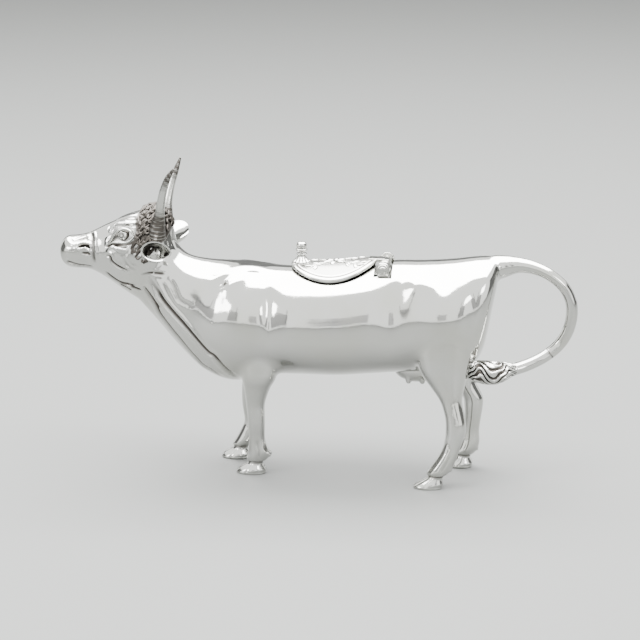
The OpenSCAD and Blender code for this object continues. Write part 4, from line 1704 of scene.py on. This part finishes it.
        # Painted shade inside the cup: darker the deeper it lies, and towards its front.
        deep = np.abs(wax.co[:, 1])
        middle = np.hypot((wax.co[:, 0] + 45) / 4, (wax.co[:, 2] - 66.4) / 3)
        inside = (wax.normals()[:, 1] * side > -0.2) & (middle < 0.93)
        lean = np.clip((-43.5 - wax.co[:, 0]) / 3.5, 0, 1)
        wax.dark = np.where(inside, np.clip((12.9 - deep) / 4.0, 0, 0.9) * lean, 0)
        for _ in range(3):
            wax.dark = wax.mean(wax.dark)
        wax.write()
        return mesh

    def build(self, shop: Workshop) -> None:
        """Makes the head and all that is on it.

        Args:
            shop: Where the pieces are placed.
        """
        mesh = cut(self.core(), ahead_of_neck(), "INTERSECT")
        mesh = cut(mesh, self.lining())
        halves = ["head_left", "head_right"]
        shop.place(mesh, "head", RAISED, "raised_silver", halves)
        shop.place(self.poll(), "poll_hair", OXIDISED, "oxidised_silver", halves, dark=0.62)
        for side, word in ((-1, "left"), (1, "right")):
            for shape, name, node in (
                (self.eyes(side), f"eyeball_{word}", f"head_{word}"),
                (self.lids(side), f"eyelids_{word}", f"head_{word}"),
                (self.horn(f"horn_{word}"), f"horn_{word}_tapered", f"horn_{word}"),
                (self.ear(side), f"ear_{word}_cup", f"ear_{word}"),
            ):
                shop.place(shape, name, CAST, "cast_silver", [node])


# ---- The tail handle ----

# Middle lines of the tail and of its tuft: [x, y, z, radius].
TAIL = [
    [49, 0, 61.4, 3.6], [53, 0, 62.2, 3.4], [58, 0, 62.8, 2.3],
    [63, 0, 61.9, 1.8], [67.4, 0, 59.8, 1.65], [71, 0, 56.6, 1.65],
    [73, 0, 52.6, 1.65], [73.3, 0, 48.2, 1.65], [72.2, 0, 43.6, 1.65],
    [69.6, 0, 39.4, 1.65], [65.6, -0.8, 36.2, 1.65], [60.6, -2.6, 34, 1.7],
    [56, -4.6, 33, 1.7], [52, -6, 32.8, 1.6],
]
TUFT = [
    [43.6, -7.4, 33.2, 1.3], [45.2, -7.2, 33.1, 2.4], [47.6, -7, 33, 3.1],
    [51, -6.6, 32.6, 3.3], [54.2, -5.4, 32.8, 2.7], [56.8, -4.5, 33.2, 1.75],
    [58.0, -4.0, 33.5, 1.5],
]


@dataclass
class Tail:
    """The tail, which is the handle, and the tuft at its end."""

    joint: float = 9.6
    root: float = 2.35
    rows_of_locks: int = 5

    def length(self, first: float, last: float, steps: int) -> bpy.types.Mesh:
        """Models a length of the tail with shallow flutes.

        Args:
            first: Where it starts, in rows of the table.
            last: Where it ends.
            steps: How many rings.

        Returns:
            The length of tail.
        """
        path = along(TAIL, steps, first, last)
        mesh = as_mesh(loft(tube_rings(path[:, :3], path[:, 3], 40)))
        wax = Wax(mesh)
        share, angle = wax.around(path[:, :3])
        row = first + share * (last - first)
        depth = 0.05 * np.clip((row - 5) / 2, 0, 1)
        wax.co += wax.normals() * (depth * np.cos(angle * 6 + row * 0.5))[:, None]
        seam = np.exp(-(((row - self.joint) / 0.05) ** 2))
        wax.dark = seam * 0.5 + depth * 2.5 * (np.cos(angle * 6 + row * 0.5) < -0.6)
        wax.write()
        return mesh

    def tuft(self) -> bpy.types.Mesh:
        """Models the tuft: waved locks with blackened grooves between them.

        Returns:
            The tuft.
        """
        path = along(TUFT, 160)
        mesh = as_mesh(loft(tube_rings(path[:, :3], path[:, 3], 176)))
        wax = Wax(mesh)
        share, angle = wax.around(path[:, :3])
        run = share * 13.0
        sway = 0.62 * np.sin(run * 1.15) + 0.2 * np.sin(run * 2.3 + angle * 2)
        phase = self.rows_of_locks * 2 * (angle + sway * 0.75)
        lock = np.cos(phase) * 0.75 + 0.35 * np.cos(phase * 2.0 + run * 1.6)
        ends = np.clip(np.minimum(share, 1 - share) * 9, 0, 1)
        groove = np.clip(-lock + 0.05, 0, 1) ** 0.8 * ends
        wax.co += wax.normals() * ((np.clip(lock, 0, 1) * 0.22 - groove * 0.5) * ends)[:, None]
        wax.dark = np.clip(groove * 1.9, 0, 1)
        wax.write()
        return mesh

    def build(self, shop: Workshop) -> None:
        """Makes the tail and its tuft.

        Args:
            shop: Where the pieces are placed.
        """
        upper = self.length(self.root, self.joint, 220)
        shop.place(upper, "tail_handle", RAISED, "cast_silver", ["tail_loop"])
        lower = self.length(self.joint, 13, 70)
        shop.place(lower, "tail_lower", RAISED, "cast_silver", ["tail_end"])
        shop.place(self.tuft(), "tuft_locks", OXIDISED, "oxidised_silver", ["tail_tuft"])


# ---- The lid and its hinge ----

# Outline of the finial: radius and height, as shares of its own.
FINIAL = [
    [0, 0], [1, 0], [1, 0.05], [0.95, 0.09], [0.80, 0.14], [0.62, 0.22],
    [0.46, 0.31], [0.38, 0.37], [0.40, 0.385], [0.56, 0.40], [0.60, 0.43], [0.56, 0.46],
    [0.40, 0.475], [0.36, 0.50], [0.36, 0.53], [0.44, 0.55], [0.60, 0.57], [0.66, 0.62],
    [0.64, 0.66], [0.50, 0.69], [0.40, 0.70], [0.40, 0.72], [0.52, 0.73], [0.58, 0.77],
    [0.58, 0.85], [0.50, 0.93], [0.34, 0.98], [0.16, 1.0], [0, 1.0],
]


@dataclass
class Lid:
    """The lid with its flowers, flange, finial and knuckle."""

    rings: int = 80
    segments: int = 220
    roll: float = 0.30
    flange_out: float = 2.9
    flange_thick: float = 0.8
    flange_deep: float = 3.2
    finial_x: float = -4.3
    finial_height: float = 6.25
    finial_radius: float = 2.6
    stem_points: int = 14
    seed: int = 3

    def oval(self, inset: float, lift: float, segments: int) -> Array:
        """Gives a ring of points over the back.

        Args:
            inset: How far inside the lid's edge.
            lift: How far above the lid's underside.
            segments: How many points.

        Returns:
            The points.
        """
        a = np.linspace(0, 2 * math.pi, segments, endpoint=False)
        x = LID_MIDDLE + max(LID_LENGTH / 2 - inset, 0.05) * np.cos(a)
        y = max(LID_WIDTH / 2 - inset, 0.04) * np.sin(a)
        return np.column_stack([x, y, back_height(x, y) + LID_GAP + lift])

    def plate(self) -> bpy.types.Mesh:
        """Models the plate with a rolled edge and a worked ground.

        Returns:
            The plate.
        """
        half = min(LID_LENGTH, LID_WIDTH) / 2
        spots = [(half * (1 - t), LID_THICK) for t in np.linspace(0.005, 0.975, self.rings)]
        for t in np.linspace(0.15, math.pi - 0.15, 9):
            lift = LID_THICK / 2 + LID_THICK / 2 * math.cos(t)
            spots.append((self.roll - self.roll * math.sin(t), lift))
        spots += [(half * (1 - t), 0) for t in np.linspace(0.97, 0.005, 14)]
        mesh = as_mesh(loft([self.oval(inset, lift, self.segments) for inset, lift in spots]))
        wax = Wax(mesh)
        up = wax.normals()[:, 2] > 0.3
        r = np.hypot((wax.co[:, 0] - LID_MIDDLE) / (LID_LENGTH / 2), wax.co[:, 1] / (LID_WIDTH / 2))
        border = np.exp(-(((r - 0.89) / 0.022) ** 2)) * up
        wax.co[:, 2] -= 0.16 * border
        wax.dark = border * 0.75 + np.where(up & (r < 0.84), 0.3, 0)
        wax.write()
        return mesh

    def spray(self) -> bmesh.types.BMesh:
        """Draws the flower in the middle and the leafy stems round it.

        Returns:
            The flower and its stems.
        """
        rng = np.random.default_rng(self.seed)
        parts = []

        def stalk(points: Array, wide: float, high: float) -> None:
            """Lays a tapering strip along points on the lid.

            Args:
                points: The points, two columns.
                wide: Half its width.
                high: Half its height.
            """
            z = back_height(points[:, 0], points[:, 1]) + LID_GAP + LID_THICK
            share = np.linspace(0, 1, len(points))
            swell = np.sin(math.pi * np.clip(0.06 + 0.88 * share, 0, 1)) ** 0.7
            path = np.column_stack([points, z + high * 0.25 * swell])
            parts.append(loft(tube_rings(path, np.column_stack([wide * swell, high * swell]), 12)))

        def curve_from(x: float, y: float, heading: float, length: float, bend: float) -> Array:
            """Gives points along a bending line.

            Args:
                x: Where it starts along the cow.
                y: Where it starts across it.
                heading: Its first direction, in radians.
                length: Its length.
                bend: How far it turns on its way, in radians.

            Returns:
                The points, two columns.
            """
            a = heading + bend * np.linspace(0, 1, self.stem_points)
            step = length / (self.stem_points - 1)
            return np.column_stack([
                x + np.cumsum(np.cos(a)) * step, y + np.cumsum(np.sin(a)) * step
            ])

        def off_middle(reach: float, heading: float) -> tuple[float, float]:
            """Gives the point at a distance and a heading from the lid's middle."""
            return LID_MIDDLE + reach * math.cos(heading), reach * math.sin(heading)

        for i in range(6):
            heading = i * math.pi / 3 + 0.3
            stalk(curve_from(*off_middle(0.5, heading), heading, 2.6, 0.3), 0.78, 0.42)
        for turn in (0.55, -0.55, math.pi - 0.6, math.pi + 0.6):
            for flip in (1, -1):
                heading = turn + 0.35 * flip
                stem = curve_from(*off_middle(2.4, turn), heading, 5.8, -0.9 * flip)
                stalk(stem, 0.22, 0.26)
                for j in (4, 7, 10, 13):
                    x, y = stem[j]
                    lean = rng.uniform(0.7, 1.1) * (1 if j % 2 else -1)
                    leaf = curve_from(x, y, turn + lean, 2.1, -0.5 * lean)
                    if np.hypot((leaf[-1, 0] - LID_MIDDLE) / 11, leaf[-1, 1] / 8.2) < 1:
                        stalk(leaf, 0.46, 0.30)
        return joined(parts)

    def finial(self) -> bpy.types.Mesh:
        """Models the turned finial with a ribbed foot.

        Returns:
            The finial.
        """
        outline = [(r * self.finial_radius, h * self.finial_height) for r, h in FINIAL]
        fine = [outline[0]]
        for a, b in zip(outline, outline[1:]):
            for t in (0.25, 0.5, 0.75, 1.0):
                fine.append((a[0] + (b[0] - a[0]) * t, a[1] + (b[1] - a[1]) * t))
        back = back_height(np.array([self.finial_x]), np.array([0.0]))[0]
        base = back + LID_GAP + LID_THICK - 0.35
        mesh = as_mesh(turned_profile(fine, 96, (self.finial_x, 0, base), (0, 0, 1)))
        wax = Wax(mesh)
        x, y = wax.co[:, 0] - self.finial_x, wax.co[:, 1]
        low = np.exp(-(((wax.co[:, 2] - base - 0.9) / 0.7) ** 2))
        ribs = np.cos(np.arctan2(y, x) * 12)
        k = 1 + 0.07 * ribs * low
        wax.co[:, 0] = self.finial_x + x * k
        wax.co[:, 1] = y * k
        wax.smooth(1, 0.5)
        wax.dark = np.clip(-ribs * low, 0, 1) * 0.6
        wax.hollow_tarnish_and_shade(6.0, 3)
        wax.write()
        return mesh

    def flange(self) -> bmesh.types.BMesh:
        """Draws the flange that drops into the opening.

        Returns:
            The flange.
        """
        far = self.flange_out + self.flange_thick
        low = -LID_GAP - self.flange_deep
        rounds = [
            (self.flange_out, 0.3), (self.flange_out, low + 0.15), (self.flange_out + 0.15, low),
            (far - 0.15, low), (far, low + 0.15), (far, 0.3),
        ]
        bm = loft([self.oval(inset, lift, 96) for inset, lift in rounds], False)
        ends = [e for e in bm.edges if e.is_boundary]
        bmesh.ops.bridge_loops(bm, edges=ends)
        bmesh.ops.recalc_face_normals(bm, faces=bm.faces)
        return bm

    def knuckle(self) -> bpy.types.Mesh:
        """Models the knuckle of the lid with its strap.

        Returns:
            The knuckle and strap in one.
        """
        strap_top = HINGE_Z + 2.0
        strap = block((HINGE_X - 4.6, -1.9, strap_top - 0.9), (HINGE_X + 0.1, 1.9, strap_top))
        web = block((HINGE_X - 1.4, -1.9, HINGE_Z), (HINGE_X + 1.2, 1.9, strap_top - 0.2))
        return soldered([barrel(1.5, -2.5, 2.5), strap, web], 0.10)

    def build(self, shop: Workshop) -> None:
        """Makes the lid.

        Args:
            shop: Where the pieces are placed.
        """
        for shape, name, node, dark, crisp in (
            (self.plate(), "lid_plate", "lid_cover", 0.0, CRISP),
            (self.spray(), "lid_flowers", "lid_cover", 0.05, CRISP),
            (self.flange(), "lid_skirt", "lid_flange", 0.0, CRISP),
            (self.finial(), "finial_turned", "lid_finial", 0.0, 60),
        ):
            shop.place(shape, name, LID_SILVER, "lid_silver", [node], "lid", dark, crisp)
        shop.place(
            self.knuckle(), "lid_strap_knuckle", HINGE_SILVER, "hinge_silver",
            ["lid_knuckle"], "lid",
        )


def barrel(radius: float, first: float, last: float) -> bmesh.types.BMesh:
    """Draws a length of the hinge's barrel with rounded ends.

    Args:
        radius: Its radius.
        first: Where it starts along Y.
        last: Where it ends.

    Returns:
        The barrel.
    """
    span, r = last - first, 0.18
    outline = [
        (0, 0), (radius - r, 0), (radius - 0.3 * r, 0.3 * r), (radius, r), (radius, span / 2),
        (radius, span - r), (radius - 0.3 * r, span - 0.3 * r), (radius - r, span), (0, span),
    ]
    return turned_profile(outline, 48, (HINGE_X, first, HINGE_Z), (0, 1, 0))


def soldered(parts: Sequence[bmesh.types.BMesh], voxel: float) -> bpy.types.Mesh:
    """Runs parts into one, with a small fillet where they meet.

    Args:
        parts: The parts, which are freed.
        voxel: How finely they are run together.

    Returns:
        One closed mesh.
    """
    mesh = modified(joined(parts), "REMESH", mode="VOXEL", voxel_size=voxel)
    wax = Wax(mesh)
    wax.smooth(4, 0.7)
    wax.hollow_tarnish_and_shade(3.0)
    wax.write()
    return mesh


@dataclass
class Hinge:
    """The fixed knuckles, the pin and the domed caps."""

    half: float = 6.5
    inner: float = 2.65
    cap_radius: float = 2.1
    cap_height: float = 1.6

    def knuckle(self, side: int) -> bpy.types.Mesh:
        """Models a fixed knuckle with its foot.

        Args:
            side: -1 on the left and 1 on the right.

        Returns:
            The knuckle.
        """
        ends = sorted((side * self.inner, side * self.half))
        foot = block((HINGE_X - 1.5, ends[0], SEAT_Z + 0.02), (HINGE_X + 1.5, ends[1], HINGE_Z))
        return soldered([barrel(1.5, *ends), foot], 0.10)

    def cap(self, side: int) -> bmesh.types.BMesh:
        """Draws a domed cap with turned rings round its middle.

        Args:
            side: -1 on the left and 1 on the right.

        Returns:
            The cap.
        """
        outline = [(0.0, 0.0), (self.cap_radius - 0.05, 0.0), (self.cap_radius, 0.06)]
        for t in np.linspace(0, 1, 40):
            a = t * math.pi / 2
            groove = 0.16 * math.exp(-(((t - 0.36) / 0.06) ** 2))
            groove += 0.12 * math.exp(-(((t - 0.66) / 0.05) ** 2))
            r = self.cap_radius * math.cos(a)
            height = self.cap_height * (0.3 + 0.7 * math.sin(a)) - groove
            outline.append((max(r - groove * 0.4, 0), height))
        outline[-1] = (0.0, outline[-1][1])
        return turned_profile(outline, 56, (HINGE_X, side * self.half, HINGE_Z), (0, side, 0))

    def build(self, shop: Workshop) -> None:
        """Makes the fixed part of the hinge.

        Args:
            shop: Where the pieces are placed.
        """
        for side, word in ((-1, "left"), (1, "right")):
            for shape, name, crisp in (
                (self.knuckle(side), f"knuckle_{word}", CRISP),
                (self.cap(side), f"cap_{word}", 60),
            ):
                shop.place(
                    shape, name, HINGE_SILVER, "hinge_silver", [f"hinge_{name}"], crisp=crisp
                )
        rod = barrel(0.7, -self.half, self.half)
        shop.place(rod, "pin_rod", HINGE_SILVER, "hinge_silver", ["hinge_pin"], dark=0.3)


def main() -> None:
    """Builds the whole scene."""
    logging.basicConfig(level=logging.INFO, format="%(message)s")
    Studio().build()
    shop = Workshop()
    Carcass().build(shop)
    Head().build(shop)
    Tail().build(shop)
    Lid().build(shop)
    Hinge().build(shop)


if __name__ == "__main__":
    main()
